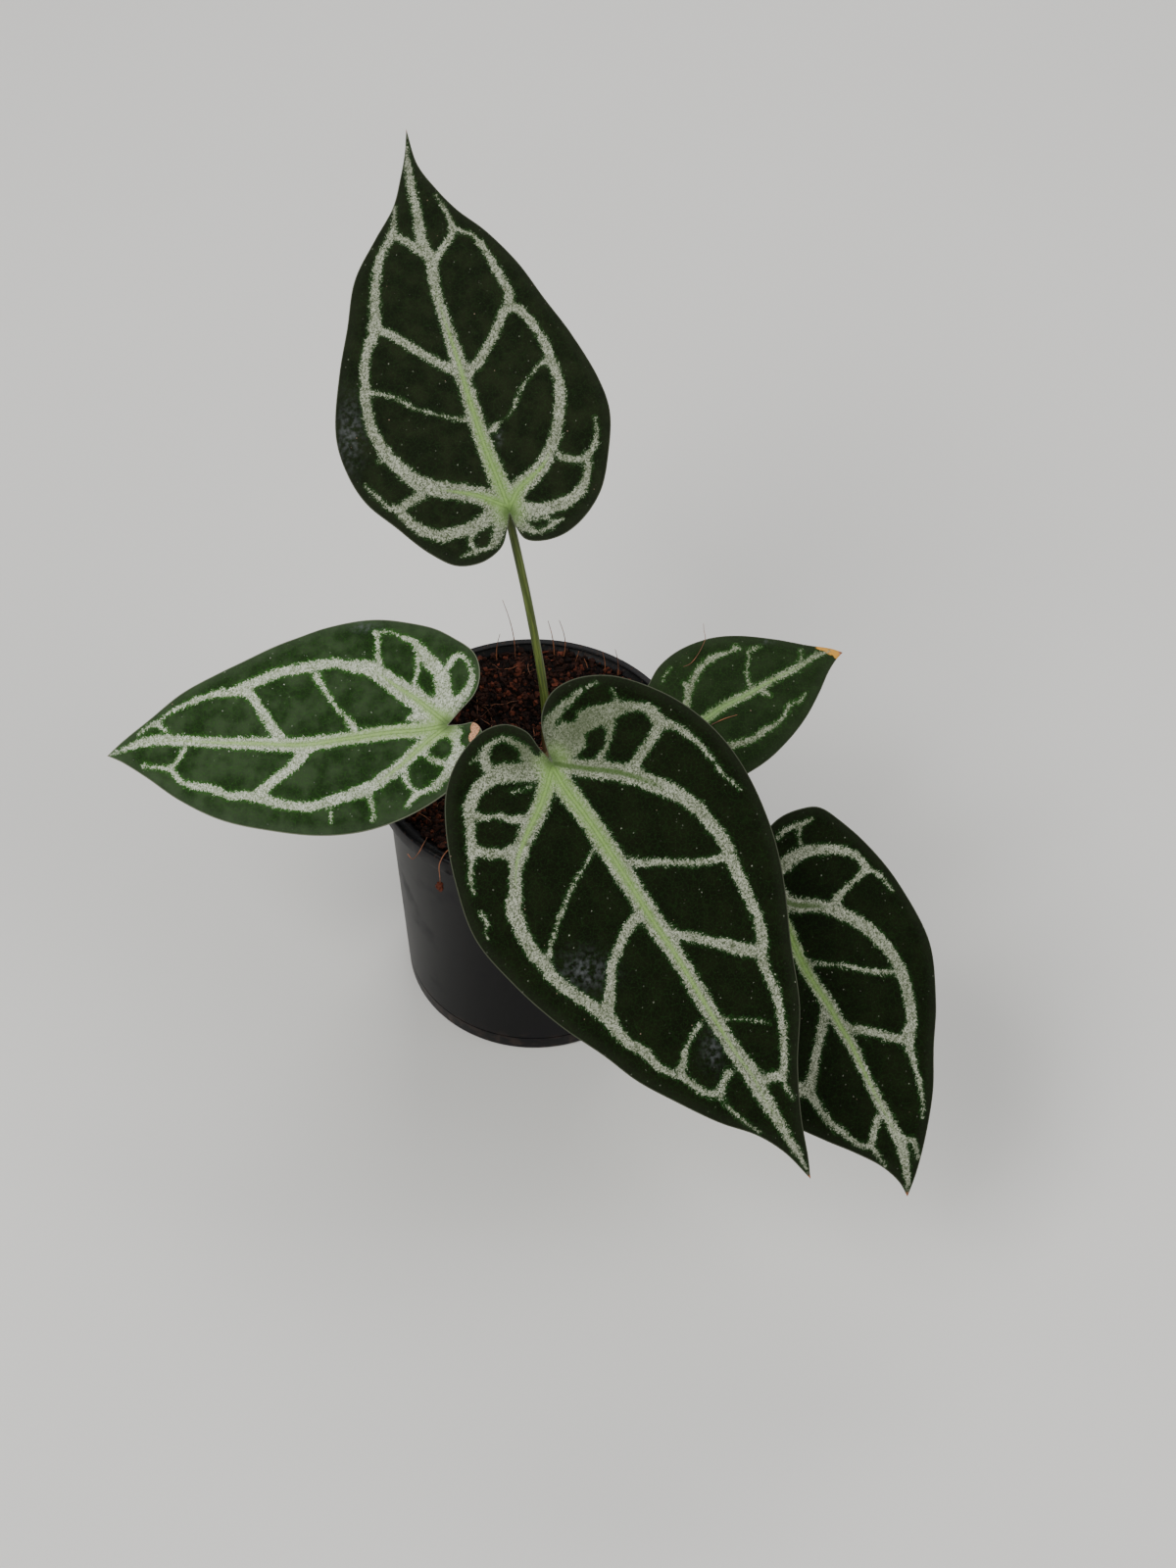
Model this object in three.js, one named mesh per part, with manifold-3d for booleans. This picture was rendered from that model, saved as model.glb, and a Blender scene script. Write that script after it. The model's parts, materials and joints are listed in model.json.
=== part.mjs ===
// A potted velvet-leaved anthurium hybrid: a round nursery pot filled with coarse coir soil, a short
// rooted stem, five leaf stalks and five heart-shaped blades with waved margins.
// Millimetres, +Z up. The origin is the centre of the pot's base. The photograph looks along +Y and
// down, with +X to its right.
import * as THREE from 'three';
import { mergeVertices } from 'three/addons/utils/BufferGeometryUtils.js';
import Module from 'manifold-3d';

const wasm = await Module();
wasm.setup();

// Gap that pieces keep where they meet.
const CLEARANCE = 0.3;

const POT = {
  height: 120,
  rimRadius: 60,
  lipInnerRadius: 56.8,
  skirtHeight: 8,
  skirtThickness: 1.3,
  bodyTopRadius: 55.6,
  baseRadius: 51,
  wall: 1.3,
  floor: 1.6,
  edgeRound: 1.2,
  lipSlope: 1.8,
  skirtTaper: 0.2,
  drainHoles: 8,
  drainHoleRadius: 4.2,
  drainCircleRadius: 38,
  drainFacets: 12,
  facets: 48,
};

// The soil is level round the stem and banked up against the wall, outside the dish's radius.
const SOIL = {
  level: 110.6,
  edgeRise: 7.2,
  dishRadius: 24,
  edgeDrop: 0.6,
  edgeInset: 1.5,
  relief: 1.1,
  rings: 7,
  facets: 36,
};

// Coir chips: how many, where, how they tilt, and the least and most of each side.
const CHIPS = {
  count: 52,
  reach: 49,
  stemClear: 13,
  length: [3, 7],
  width: [2, 3.6],
  depth: [1.6, 2.6],
  tilt: 0.9,
  lift: 0.25,
  seed: 7,
};

const FIBRE = {
  radius: 0.36,
  sunk: 2.5,
  steps: 5,
  strayTurns: 14,
  sides: 4,
};

// Upright coir fibres: foot across and along the soil, height, lean across and along.
const FIBRES = [
  { foot: [-6.9, 51.6], height: 30, lean: [-4.3, 2.2] },
  { foot: [8.2, 51.8], height: 18.5, lean: [-2.1, 1.7] },
  { foot: [11.4, 51.3], height: 18.5, lean: [-1, 2.2] },
  { foot: [16.1, 49.4], height: 5, lean: [1.9, 1] },
  { foot: [27.6, 44.8], height: 9.7, lean: [-0.5, 1.2] },
];

// One fibre climbs out over the front of the rim and holds a crumb of coir: distance from the pot's
// axis and height of each bend, in the direction given as an angle from +X.
const STRAY_FIBRE = {
  direction: THREE.MathUtils.degToRad(237.7),
  bends: [[46, 109.5], [50.5, 115.5], [54.5, 120.7], [58.5, 121.5], [61.7, 119.4], [62, 111],
    [62.2, 106.4]],
  crumbRadius: 1.7,
};

const STEM = {
  centre: [8, -1],
  foot: 88,
  top: 123.5,
  radius: 5.8,
  facets: 14,
};

// Roots leave the stem all round. Each bend gives a share of the spread, of the way down and of the
// sideways swing.
const ROOTS = {
  seed: 11,
  bends: [[0, 0, 0], [0.38, 0.1, 0.2], [0.78, 0.34, 0.7], [1, 0.66, 1], [0.92, 1, 1.6]],
  shortest: 0.8,
  swing: 0.5,
  scatter: 0.3,
  count: 7,
  startHeight: 97,
  rise: 2.1,
  startRadius: 1.7,
  endRadius: 1.0,
  endHeight: 16,
  spread: 43,
  turn: 2.4,
  steps: 9,
  sides: 6,
};

const STALK = {
  startInset: 2,
  startDrop: 5,
  leaveReach: 8.5,
  leaveRise: 5,
  hubInset: 0.6,
  neckShare: 0.6,
  neckLead: 0.25,
  radius: 1.6,
  baseRadius: 2.5,
  neckRadius: 2.1,
  baseLength: 16,
  neckLength: 9,
  steps: 18,
  sides: 8,
};

const BLADE = {
  thickness: 0.8,
  ribDepth: 1.1,
  ribHalfWidth: 2.4,
  sidePoints: 29,
  rings: [0.2, 0.42, 0.64, 0.84, 1],
  hub: 0.08,
  lobeReach: 0.3,
  waveSideShift: 1.9,
  waveSpan: 1.2,
};

// Each leaf: the point where the stalk carries the blade, the tip, the way the upper face looks, and
// the bends of its stalk. `right` and `left` are the two margins from the stalk to the tip, seen on
// the upper face with the tip pointing away, as [across, along] in the blade's own plane.
const LEAVES = {
  front: {
    stalkPoint: [9.1, -74.1, 203],
    tip: [97.3, -183.5, 112],
    facing: [0.1, -0.55, 0.8],
    colour: 0x1c2315,
    stalkBase: { angle: 268, height: 119 },
    stalkBends: [[8.5, -22, 146], [9, -50, 180]],
    halfWidth: 64,
    bow: -0.3,
    sway: 0.3,
    archAcross: 8,
    edgeFall: 1.5,
    archAlong: 6,
    lobeLift: 7,
    waveHeight: 1.3,
    waves: 3.3,
    wavePhase: 0.6,
    right: [[0, 0], [1.2, -6], [2, -13], [7, -19], [15, -21], [26, -18], [36, -10.5], [43.5, 1.5],
      [50, 18], [54.5, 38], [51.5, 58], [45.5, 78], [38.5, 94], [33.5, 107], [26, 120], [17, 134],
      [8, 145], [3, 155], [0, 167.4]],
    left: [[0, 0], [-1.2, -6], [-5, -15], [-12, -20], [-21, -20], [-32, -15], [-42, -5], [-49, 6],
      [-54, 22], [-55, 40], [-52, 58], [-46, 75], [-36, 96], [-27.5, 115], [-16.5, 131.5], [-8, 148],
      [-3, 161], [0, 167.4]],
  },
  back: {
    stalkPoint: [-6.6, 28.1, 220],
    tip: [-46, 165.1, 284],
    facing: [0, -0.45, 0.9],
    colour: 0x1d2616,
    stalkBase: { angle: 105, height: 117 },
    stalkBends: [[5, 9.5, 145], [-0.5, 19.5, 183]],
    halfWidth: 52,
    bow: -5,
    sway: 0,
    archAcross: 8,
    edgeFall: 1.5,
    archAlong: 6,
    lobeLift: 5,
    waveHeight: 1.4,
    waves: 3.0,
    wavePhase: 2.0,
    right: [[0, 0], [0.8, -5], [3, -11], [9, -13.5], [17, -13], [25.5, -8.5], [34, 0.5], [40, 13],
      [44.5, 28], [43.5, 42], [38.5, 60], [32, 75.5], [26, 91.5], [18, 106.5], [10, 117.5], [4.5, 128.5],
      [0.5, 140], [0, 156.3]],
    left: [[0, 0], [-2, -5], [-6, -12], [-14, -16], [-23, -15], [-31, -8], [-40, 4], [-49, 16.5],
      [-53, 30], [-53.5, 44], [-47, 64.5], [-40, 81.5], [-33, 99], [-22, 113], [-12.5, 124.5], [-7, 136],
      [-3, 146], [0, 156.3]],
  },
  left: {
    stalkPoint: [-29.6, -18.4, 158],
    tip: [-157.5, -11, 132],
    facing: [-0.22, -0.45, 0.9],
    colour: 0x24401f,
    stalkBase: { angle: 205, height: 114 },
    stalkBends: [[-8, -8.5, 131], [-21, -14.5, 147]],
    halfWidth: 42,
    bow: 0,
    sway: -3.3,
    archAcross: 6,
    edgeFall: 1.5,
    archAlong: 4,
    lobeLift: 4,
    waveHeight: 1.5,
    waves: 3.4,
    wavePhase: 1.2,
    right: [[0, 0], [4, -4], [11, -11], [18, -13], [26, -11], [33, -3], [38.5, 6], [42, 19],
      [42.5, 33.5], [41.5, 46.5], [37.5, 57.5], [32, 71.5], [27, 85.5], [20.5, 100], [12, 113],
      [5, 124], [0, 130.7]],
    left: [[0, 0], [-0.2, -5], [0, -10], [-4, -13], [-12, -10.5], [-21, -4], [-28, 5], [-34, 17],
      [-37.5, 33], [-38, 50], [-34, 69], [-29, 86], [-20, 102], [-10, 115], [-3, 125], [0, 130.7]],
  },
  right: {
    stalkPoint: [45.9, -17.8, 148],
    tip: [117, 24.7, 150],
    facing: [0.1, -0.35, 1],
    colour: 0x26391f,
    stalkBase: { angle: 345, height: 117 },
    stalkBends: [[22, -8, 130], [36, -15, 141]],
    halfWidth: 28,
    bow: -1.2,
    sway: 1,
    archAcross: 4,
    edgeFall: 1.4,
    archAlong: 2.5,
    lobeLift: 3,
    waveHeight: 0.9,
    waves: 2.6,
    wavePhase: 0.3,
    right: [[0, 0], [1, -4], [5, -9], [12, -9], [19, -3], [24, 7], [26.5, 19], [26, 31], [23, 42],
      [18, 54], [11, 65], [5, 73], [1.5, 79], [0, 82.8]],
    left: [[0, 0], [-1, -4], [-5, -8], [-10, -8], [-15, -2], [-20, 8], [-25, 16], [-28, 28], [-27, 38],
      [-22, 50], [-15.5, 61], [-8, 71.5], [-3, 79.5], [0, 82.8]],
  },
  low: {
    stalkPoint: [82.4, -78.1, 150],
    tip: [134.8, -165.2, 72],
    facing: [0.25, -0.55, 0.8],
    colour: 0x1e2817,
    stalkBase: { angle: 308, height: 113 },
    stalkBends: [[29, -24, 132], [56, -50, 150], [72, -67, 153]],
    halfWidth: 46,
    bow: -1.5,
    sway: 3,
    archAcross: 6,
    edgeFall: 1.5,
    archAlong: 5,
    lobeLift: 5,
    waveHeight: 1.2,
    waves: 3.0,
    wavePhase: 2.6,
    right: [[0, 0], [2, -5], [7, -10], [15, -10], [24, -5], [33, 6], [39, 22], [41, 40], [38.5, 58],
      [35, 73], [30, 85], [21, 96], [12.5, 105], [5, 114], [1, 122], [0, 128.1]],
    left: [[0, 0], [-2, -5], [-6, -10], [-13, -13], [-21, -13], [-29, -10.5], [-35, -2], [-41, 12],
      [-45, 25], [-46, 39], [-44.5, 53.5], [-38, 70.5], [-30, 84], [-23, 98.5], [-14, 112], [-6, 122],
      [0, 128.1]],
  },
};

const plant = new THREE.Group();

// A repeatable stream of numbers from 0 to 1.
function seededRandom(seed) {
  let state = seed;
  return () => {
    state = (state * 1664525 + 1013904223) % 4294967296;
    return state / 4294967296;
  };
}

function between(low, high, share) {
  return low + (high - low) * share;
}

// Turns a closed geometry into a solid that can be joined and cut.
function toSolid(geometry) {
  const bare = geometry.clone();
  bare.deleteAttribute('normal');
  bare.deleteAttribute('uv');
  const welded = mergeVertices(bare, 1e-4);
  const corners = welded.index.array;
  const triVerts = [];
  for (let i = 0; i < corners.length; i += 3) {
    const [a, b, c] = [corners[i], corners[i + 1], corners[i + 2]];
    if (a !== b && b !== c && c !== a) {
      triVerts.push(a, b, c);
    }
  }
  return new wasm.Manifold(new wasm.Mesh({
    numProp: 3,
    vertProperties: new Float32Array(welded.attributes.position.array),
    triVerts: new Uint32Array(triVerts),
  }));
}

// The one connected body of a cut solid: scraps that a cut leaves loose are dropped.
function mainBody(solid) {
  const bodies = solid.decompose();
  bodies.sort((a, b) => b.volume() - a.volume());
  return bodies[0];
}

function toGeometry(solid) {
  const { vertProperties, triVerts } = solid.getMesh();
  return indexedGeometry(vertProperties, triVerts);
}

function indexedGeometry(positions, index) {
  const geometry = new THREE.BufferGeometry();
  geometry.setAttribute('position', new THREE.BufferAttribute(new Float32Array(positions), 3));
  geometry.setIndex(new THREE.BufferAttribute(new Uint32Array(index), 1));
  geometry.computeVertexNormals();
  return geometry;
}

function addPiece(name, geometry, colour, roughness) {
  const material = new THREE.MeshStandardMaterial({ color: colour, roughness, metalness: 0 });
  const mesh = new THREE.Mesh(geometry, material);
  mesh.name = name;
  plant.add(mesh);
}

// A profile of [radius, height] pairs turned about the Z axis.
function revolve(profile, facets) {
  const points = profile.map(([radius, height]) => new THREE.Vector2(radius, height));
  return new THREE.LatheGeometry(points, facets).rotateX(Math.PI / 2);
}

// A round stalk along a smooth path, with a radius given along it. `grow` fattens and lengthens it,
// to cut the clearance that it needs in its neighbours.
function stalkGeometry(points, radiusAt, steps, sides, grow = 0) {
  const path = new THREE.CatmullRomCurve3(points.map((p) => new THREE.Vector3(...p)));
  const { tangents, normals, binormals } = path.computeFrenetFrames(steps, false);
  const positions = [];
  const index = [];
  for (let i = 0; i <= steps; i += 1) {
    const endShift = grow * (Number(i === steps) - Number(i === 0));
    const centre = path.getPointAt(i / steps).addScaledVector(tangents[i], endShift);
    const radius = radiusAt(i / steps, path.getLength()) + grow;
    for (let j = 0; j < sides; j += 1) {
      const angle = (2 * Math.PI * j) / sides;
      const corner = centre.clone()
        .addScaledVector(normals[i], radius * Math.cos(angle))
        .addScaledVector(binormals[i], radius * Math.sin(angle));
      positions.push(...corner.toArray());
      if (i < steps) {
        const next = (j + 1) % sides;
        const [a, b] = [i * sides + j, i * sides + next];
        index.push(a, b, b + sides, a, b + sides, a + sides);
      }
    }
  }
  const last = steps * sides;
  for (let j = 1; j < sides - 1; j += 1) {
    index.push(0, j + 1, j);
    index.push(last, last + j, last + j + 1);
  }
  return indexedGeometry(positions, index);
}

function potInnerRadius(height) {
  const share = height / POT.height;
  return POT.baseRadius + (POT.bodyTopRadius - POT.baseRadius) * share - POT.wall;
}

// The nursery pot: a thin tapered cup with a turned-down skirt round its lip and drain holes.
function buildPot() {
  const lipUnderside = POT.height - POT.wall;
  const skirtFoot = POT.height - POT.skirtHeight;
  const skirtInner = POT.rimRadius - POT.skirtThickness;
  const profile = [
    [0, 0],
    [POT.baseRadius - POT.edgeRound, 0],
    [POT.baseRadius, POT.edgeRound],
    [POT.bodyTopRadius, lipUnderside],
    [skirtInner, lipUnderside],
    [skirtInner - POT.skirtTaper, skirtFoot],
    [POT.rimRadius - POT.skirtTaper, skirtFoot],
    [POT.rimRadius, POT.height - POT.edgeRound],
    [POT.rimRadius - POT.edgeRound / 2, POT.height],
    [POT.lipInnerRadius, POT.height],
    [potInnerRadius(POT.height), POT.height - POT.lipSlope],
    [potInnerRadius(POT.floor), POT.floor],
    [0, POT.floor],
  ];
  let pot = toSolid(revolve(profile, POT.facets));
  for (let k = 0; k < POT.drainHoles; k += 1) {
    const angle = (2 * Math.PI * (k + 0.5)) / POT.drainHoles;
    const [x, y] = [POT.drainCircleRadius * Math.cos(angle), POT.drainCircleRadius * Math.sin(angle)];
    const radius = POT.drainHoleRadius;
    const hole = new THREE.CylinderGeometry(radius, radius, POT.floor * 3, POT.drainFacets)
      .rotateX(Math.PI / 2)
      .translate(x, y, 0);
    pot = pot.subtract(toSolid(hole));
  }
  addPiece('pot', toGeometry(pot), 0x0d0d0e, 0.35);
}

// The short upright stem: a tapered foot in the soil and a pointed bud above it.
function stemSolid(grow) {
  const height = STEM.top - STEM.foot;
  const shape = [[0, 0], [0.72, 0.02], [0.95, 0.16], [1, 0.45], [0.95, 0.68], [0.78, 0.82],
    [0.42, 0.94], [0, 1]];
  const profile = shape.map(([across, up]) => [
    across === 0 ? 0 : across * STEM.radius + grow,
    STEM.foot - grow + up * (height + 2 * grow),
  ]);
  return toSolid(revolve(profile, STEM.facets)).translate([...STEM.centre, 0]);
}

// Thick roots curve outward and down into the soil.
function rootSolids(grow) {
  const random = seededRandom(ROOTS.seed);
  const roots = [];
  for (let k = 0; k < ROOTS.count; k += 1) {
    const angle = k * ROOTS.turn + ROOTS.scatter * random();
    const start = ROOTS.startHeight + ROOTS.rise * (k % 3);
    const reach = ROOTS.spread * between(ROOTS.shortest, 1, random());
    const swing = ROOTS.swing * (random() - 0.5);
    const points = ROOTS.bends.map(([out, down, turn]) => {
      const [x, y] = STEM.centre.map((c) => c * (1 - down));
      const direction = angle + swing * turn;
      const height = start + (ROOTS.endHeight - start) * down;
      return [x + out * reach * Math.cos(direction), y + out * reach * Math.sin(direction), height];
    });
    const radiusAt = (t) => between(ROOTS.startRadius, ROOTS.endRadius, t);
    roots.push(toSolid(stalkGeometry(points, radiusAt, ROOTS.steps, ROOTS.sides, grow)));
  }
  return roots;
}

function buildStem() {
  const stem = rootSolids(0).reduce((body, root) => body.add(root), stemSolid(0));
  addPiece('stem_with_roots', toGeometry(stem), 0x5a5a32, 0.7);
}

// The blade's own axes: across, along the midrib and up from the upper face.
function bladeFrame(leaf) {
  const origin = new THREE.Vector3(...leaf.stalkPoint);
  const along = new THREE.Vector3(...leaf.tip).sub(origin);
  const length = along.length();
  along.normalize();
  const up = new THREE.Vector3(...leaf.facing);
  up.addScaledVector(along, -up.dot(along)).normalize();
  const across = new THREE.Vector3().crossVectors(along, up);
  return { origin, across, along, up, length };
}

// How far the midrib bows and sways sideways at a fraction of the blade's length.
function midribBow(leaf, t) {
  const inside = THREE.MathUtils.clamp(t, 0, 1);
  return leaf.bow * 4 * inside * (1 - inside) + leaf.sway * Math.sin(2 * Math.PI * inside);
}

// Height of the blade's middle layer over its plane: two arched halves that meet in a crease at the
// midrib, a long arch, lifted lobes behind the stalk and a wave that grows towards the margin.
function bladeLift(leaf, fromMidrib, t) {
  const inside = THREE.MathUtils.clamp(t, 0, 1);
  const s = Math.abs(fromMidrib) / leaf.halfWidth;
  const side = fromMidrib > 0 ? 1 : -1;
  const halves = leaf.archAcross * (s - leaf.edgeFall * s * s) * (1 - 0.5 * inside);
  const long = leaf.archAlong * 4 * inside * (1 - inside);
  const lobes = leaf.lobeLift * Math.max(-t / BLADE.lobeReach, 0) ** 2;
  const phase = 2 * Math.PI * leaf.waves * t + leaf.wavePhase + BLADE.waveSideShift * side;
  const wave = leaf.waveHeight * Math.sin(phase) * Math.min(s, BLADE.waveSpan) ** 2;
  return halves + long + lobes + wave;
}

// Evenly spaced points round the margin, from the stalk along the right side to the tip and back.
function marginPoints(leaf, length) {
  const sides = [leaf.right, leaf.left].map((side) => {
    const curve = new THREE.CatmullRomCurve3(side.map(([x, y]) => new THREE.Vector3(x, y, 0)));
    return curve.getSpacedPoints(BLADE.sidePoints);
  });
  const loop = [...sides[0], ...sides[1].slice(1, -1).reverse()];
  return loop.map((p) => [p.x - midribBow(leaf, p.y / length), p.y]);
}

// A closed blade of even thickness, split into triangles alike on both faces, with a midrib below.
function bladeGeometry(leaf) {
  const frame = bladeFrame(leaf);
  const margin = marginPoints(leaf, frame.length);
  const hub = BLADE.hub * frame.length;
  const grid = [[0, hub]];
  BLADE.rings.forEach((share) => {
    margin.forEach(([x, y]) => grid.push([x * share, hub + (y - hub) * share]));
  });
  const place = (fromMidrib, along, height) => {
    const point = frame.origin.clone();
    point.addScaledVector(frame.across, fromMidrib + midribBow(leaf, along / frame.length));
    point.addScaledVector(frame.along, along);
    return point.addScaledVector(frame.up, height).toArray();
  };
  const upper = [];
  const lower = [];
  grid.forEach(([x, y]) => {
    const t = y / frame.length;
    const middle = bladeLift(leaf, x, t);
    const taper = THREE.MathUtils.clamp(1 - t, 0, 1);
    const ribHalfWidth = BLADE.ribHalfWidth * (0.3 + taper);
    const rib = BLADE.ribDepth * taper * Math.max(1 - Math.abs(x) / ribHalfWidth, 0);
    upper.push(...place(x, y, middle + BLADE.thickness / 2));
    lower.push(...place(x, y, middle - BLADE.thickness / 2 - (t > 0 ? rib : 0)));
  });
  const count = margin.length;
  const under = grid.length;
  const index = [];
  const twoFaces = (a, b, c) => {
    index.push(a, b, c);
    index.push(under + a, under + c, under + b);
  };
  for (let j = 0; j < count; j += 1) {
    const next = (j + 1) % count;
    twoFaces(0, 1 + j, 1 + next);
    for (let ring = 1; ring < BLADE.rings.length; ring += 1) {
      const inner = 1 + (ring - 1) * count;
      const outer = inner + count;
      twoFaces(inner + j, outer + j, outer + next);
      twoFaces(inner + j, outer + next, inner + next);
    }
    const edge = 1 + (BLADE.rings.length - 1) * count;
    index.push(edge + j, under + edge + j, under + edge + next);
    index.push(edge + j, under + edge + next, edge + next);
  }
  return indexedGeometry([...upper, ...lower], index);
}

// The stalk's path: out of the stem's side, through its bends and square up to the blade's underside.
function stalkPath(leaf) {
  const { angle, height } = leaf.stalkBase;
  const turn = THREE.MathUtils.degToRad(angle);
  const outward = [Math.cos(turn), Math.sin(turn)];
  const [cx, cy] = STEM.centre;
  const { startInset, startDrop, leaveReach, leaveRise, hubInset, neckShare } = STALK;
  const start = [cx + startInset * outward[0], cy + startInset * outward[1], height - startDrop];
  const leaving = [cx + leaveReach * outward[0], cy + leaveReach * outward[1], height + leaveRise];
  const frame = bladeFrame(leaf);
  const underside = bladeLift(leaf, 0, 0) - BLADE.thickness / 2 - BLADE.ribDepth - CLEARANCE;
  const end = frame.origin.clone().addScaledVector(frame.along, STALK.neckRadius + hubInset)
    .addScaledVector(frame.up, underside);
  const neck = end.clone().addScaledVector(frame.up, -STALK.neckLength * neckShare);
  return [start, leaving, ...leaf.stalkBends, neck.toArray(), end.toArray()];
}

// Stalks are thicker where they clasp the stem and at the neck below the blade.
function stalkRadius(t, length) {
  const fromBase = Math.max(1 - (t * length) / STALK.baseLength, 0);
  const fromNeck = Math.max(1 - ((1 - t) * length) / STALK.neckLength, 0);
  const swell = Math.sin(Math.PI * Math.min(fromNeck + STALK.neckLead, 1));
  const neck = fromNeck > 0 ? (STALK.neckRadius - STALK.radius) * Math.max(swell, 0) : 0;
  return between(STALK.radius, STALK.baseRadius, fromBase) + neck;
}

function stalkSolid(leaf, grow) {
  return toSolid(stalkGeometry(stalkPath(leaf), stalkRadius, STALK.steps, STALK.sides, grow));
}

// Each stalk keeps clear of the stem and of the stalks that were placed before it.
function buildLeaves() {
  let taken = stemSolid(CLEARANCE);
  for (const [name, leaf] of Object.entries(LEAVES)) {
    const stalk = mainBody(stalkSolid(leaf, 0).subtract(taken));
    addPiece(`leaf_stalk_${name}`, toGeometry(stalk), 0x4a5523, 0.5);
    addPiece(`leaf_blade_${name}`, bladeGeometry(leaf), leaf.colour, 0.6);
    taken = taken.add(stalkSolid(leaf, CLEARANCE));
  }
  return taken;
}

// Height of the soil's surface: the bank against the wall, and lumps from two waves.
function soilHeight(x, y) {
  const bank = THREE.MathUtils.smoothstep(Math.hypot(x, y), SOIL.dishRadius, POT.baseRadius);
  const broad = Math.sin(0.17 * x + 0.9) * Math.cos(0.15 * y - 0.4);
  const fine = 0.6 * Math.sin(0.42 * x - 0.31 * y) + 0.4 * Math.cos(0.29 * x + 0.53 * y + 1.2);
  return SOIL.level + SOIL.edgeRise * bank + SOIL.relief * 0.5 * (broad + fine);
}

function soilBody() {
  const edge = SOIL.level + SOIL.edgeRise - SOIL.edgeDrop;
  const foot = POT.floor + CLEARANCE;
  const profile = [
    [0, foot],
    [potInnerRadius(foot) - CLEARANCE, foot],
    [potInnerRadius(edge) - CLEARANCE, edge],
  ];
  // The surface's points start at the pot's height, and each then gets its own.
  const top = POT.height;
  for (let ring = 0; ring <= SOIL.rings; ring += 1) {
    const share = 1 - ring / SOIL.rings;
    profile.push([share * (potInnerRadius(edge) - SOIL.edgeInset), top]);
  }
  const geometry = revolve(profile, SOIL.facets);
  const position = geometry.attributes.position;
  for (let i = 0; i < position.count; i += 1) {
    if (position.getZ(i) > edge + CLEARANCE) {
      position.setZ(i, soilHeight(position.getX(i), position.getY(i)));
    }
  }
  return toSolid(geometry);
}

// Coarse coir chips lie half sunk in the surface, away from the stem.
function soilChips() {
  const random = seededRandom(CHIPS.seed);
  const chips = [];
  while (chips.length < CHIPS.count) {
    const radius = CHIPS.reach * Math.sqrt(random());
    const angle = 2 * Math.PI * random();
    const [x, y] = [radius * Math.cos(angle), radius * Math.sin(angle)];
    const fromStem = Math.hypot(x - STEM.centre[0], y - STEM.centre[1]);
    if (fromStem > CHIPS.stemClear) {
      const [length, width, depth] = [CHIPS.length, CHIPS.width, CHIPS.depth]
        .map(([least, most]) => between(least, most, random()));
      const chip = new THREE.BoxGeometry(length, width, depth)
        .rotateX(CHIPS.tilt * (random() - 0.5))
        .rotateY(CHIPS.tilt * (random() - 0.5))
        .rotateZ(2 * Math.PI * random())
        .translate(x, y, soilHeight(x, y) + CHIPS.lift);
      chips.push(toSolid(chip));
    }
  }
  return chips;
}

// Fibres that stand in the soil, and the stray one with its crumb.
function coirFibres() {
  const thin = () => FIBRE.radius;
  const upright = FIBRES.map(({ foot: [x, y], height, lean: [dx, dy] }) => {
    const points = [0, 0.5, 1].map((t) => [
      x + dx * t * t,
      y + dy * t * t,
      soilHeight(x, y) - FIBRE.sunk + (height + FIBRE.sunk) * t,
    ]);
    return toSolid(stalkGeometry(points, thin, FIBRE.steps, FIBRE.sides));
  });
  const [cx, cy] = [Math.cos(STRAY_FIBRE.direction), Math.sin(STRAY_FIBRE.direction)];
  const bends = STRAY_FIBRE.bends.map(([out, height]) => [out * cx, out * cy, height]);
  const crumb = new THREE.IcosahedronGeometry(STRAY_FIBRE.crumbRadius, 0).translate(...bends.at(-1));
  const stray = stalkGeometry(bends, thin, FIBRE.strayTurns, FIBRE.sides);
  return [...upright, toSolid(stray), toSolid(crumb)];
}

// The soil fills the pot, and the stem, its roots and the stalks stand in plain holes in it.
function buildSoil(taken) {
  let soil = soilBody();
  for (const bit of [...soilChips(), ...coirFibres()]) {
    soil = soil.add(bit);
  }
  for (const root of rootSolids(CLEARANCE)) {
    soil = soil.subtract(root);
  }
  addPiece('soil', toGeometry(mainBody(soil.subtract(taken))), 0x3a2118, 0.95);
}

buildPot();
buildStem();
buildSoil(buildLeaves());

export default plant;
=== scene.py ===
"""A potted velvet-leaved anthurium hybrid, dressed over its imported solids.

Shapes are worked out in millimetres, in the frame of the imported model: +Z up, the centre of the pot's
base at the origin, and the photograph looking along +Y and down. A piece becomes metres when it is made.
A path is written as text, "x,y,width x,y,width", and a colour as its red, green and blue on a screen.
"""

from __future__ import annotations

import json
import logging
import math
import random
from collections.abc import Iterable, Sequence
from dataclasses import dataclass, field
from enum import Enum
from typing import Any

import bpy
import numpy as np
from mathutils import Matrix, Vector, noise
from mathutils.geometry import delaunay_2d_cdt
from mathutils.kdtree import KDTree

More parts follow.
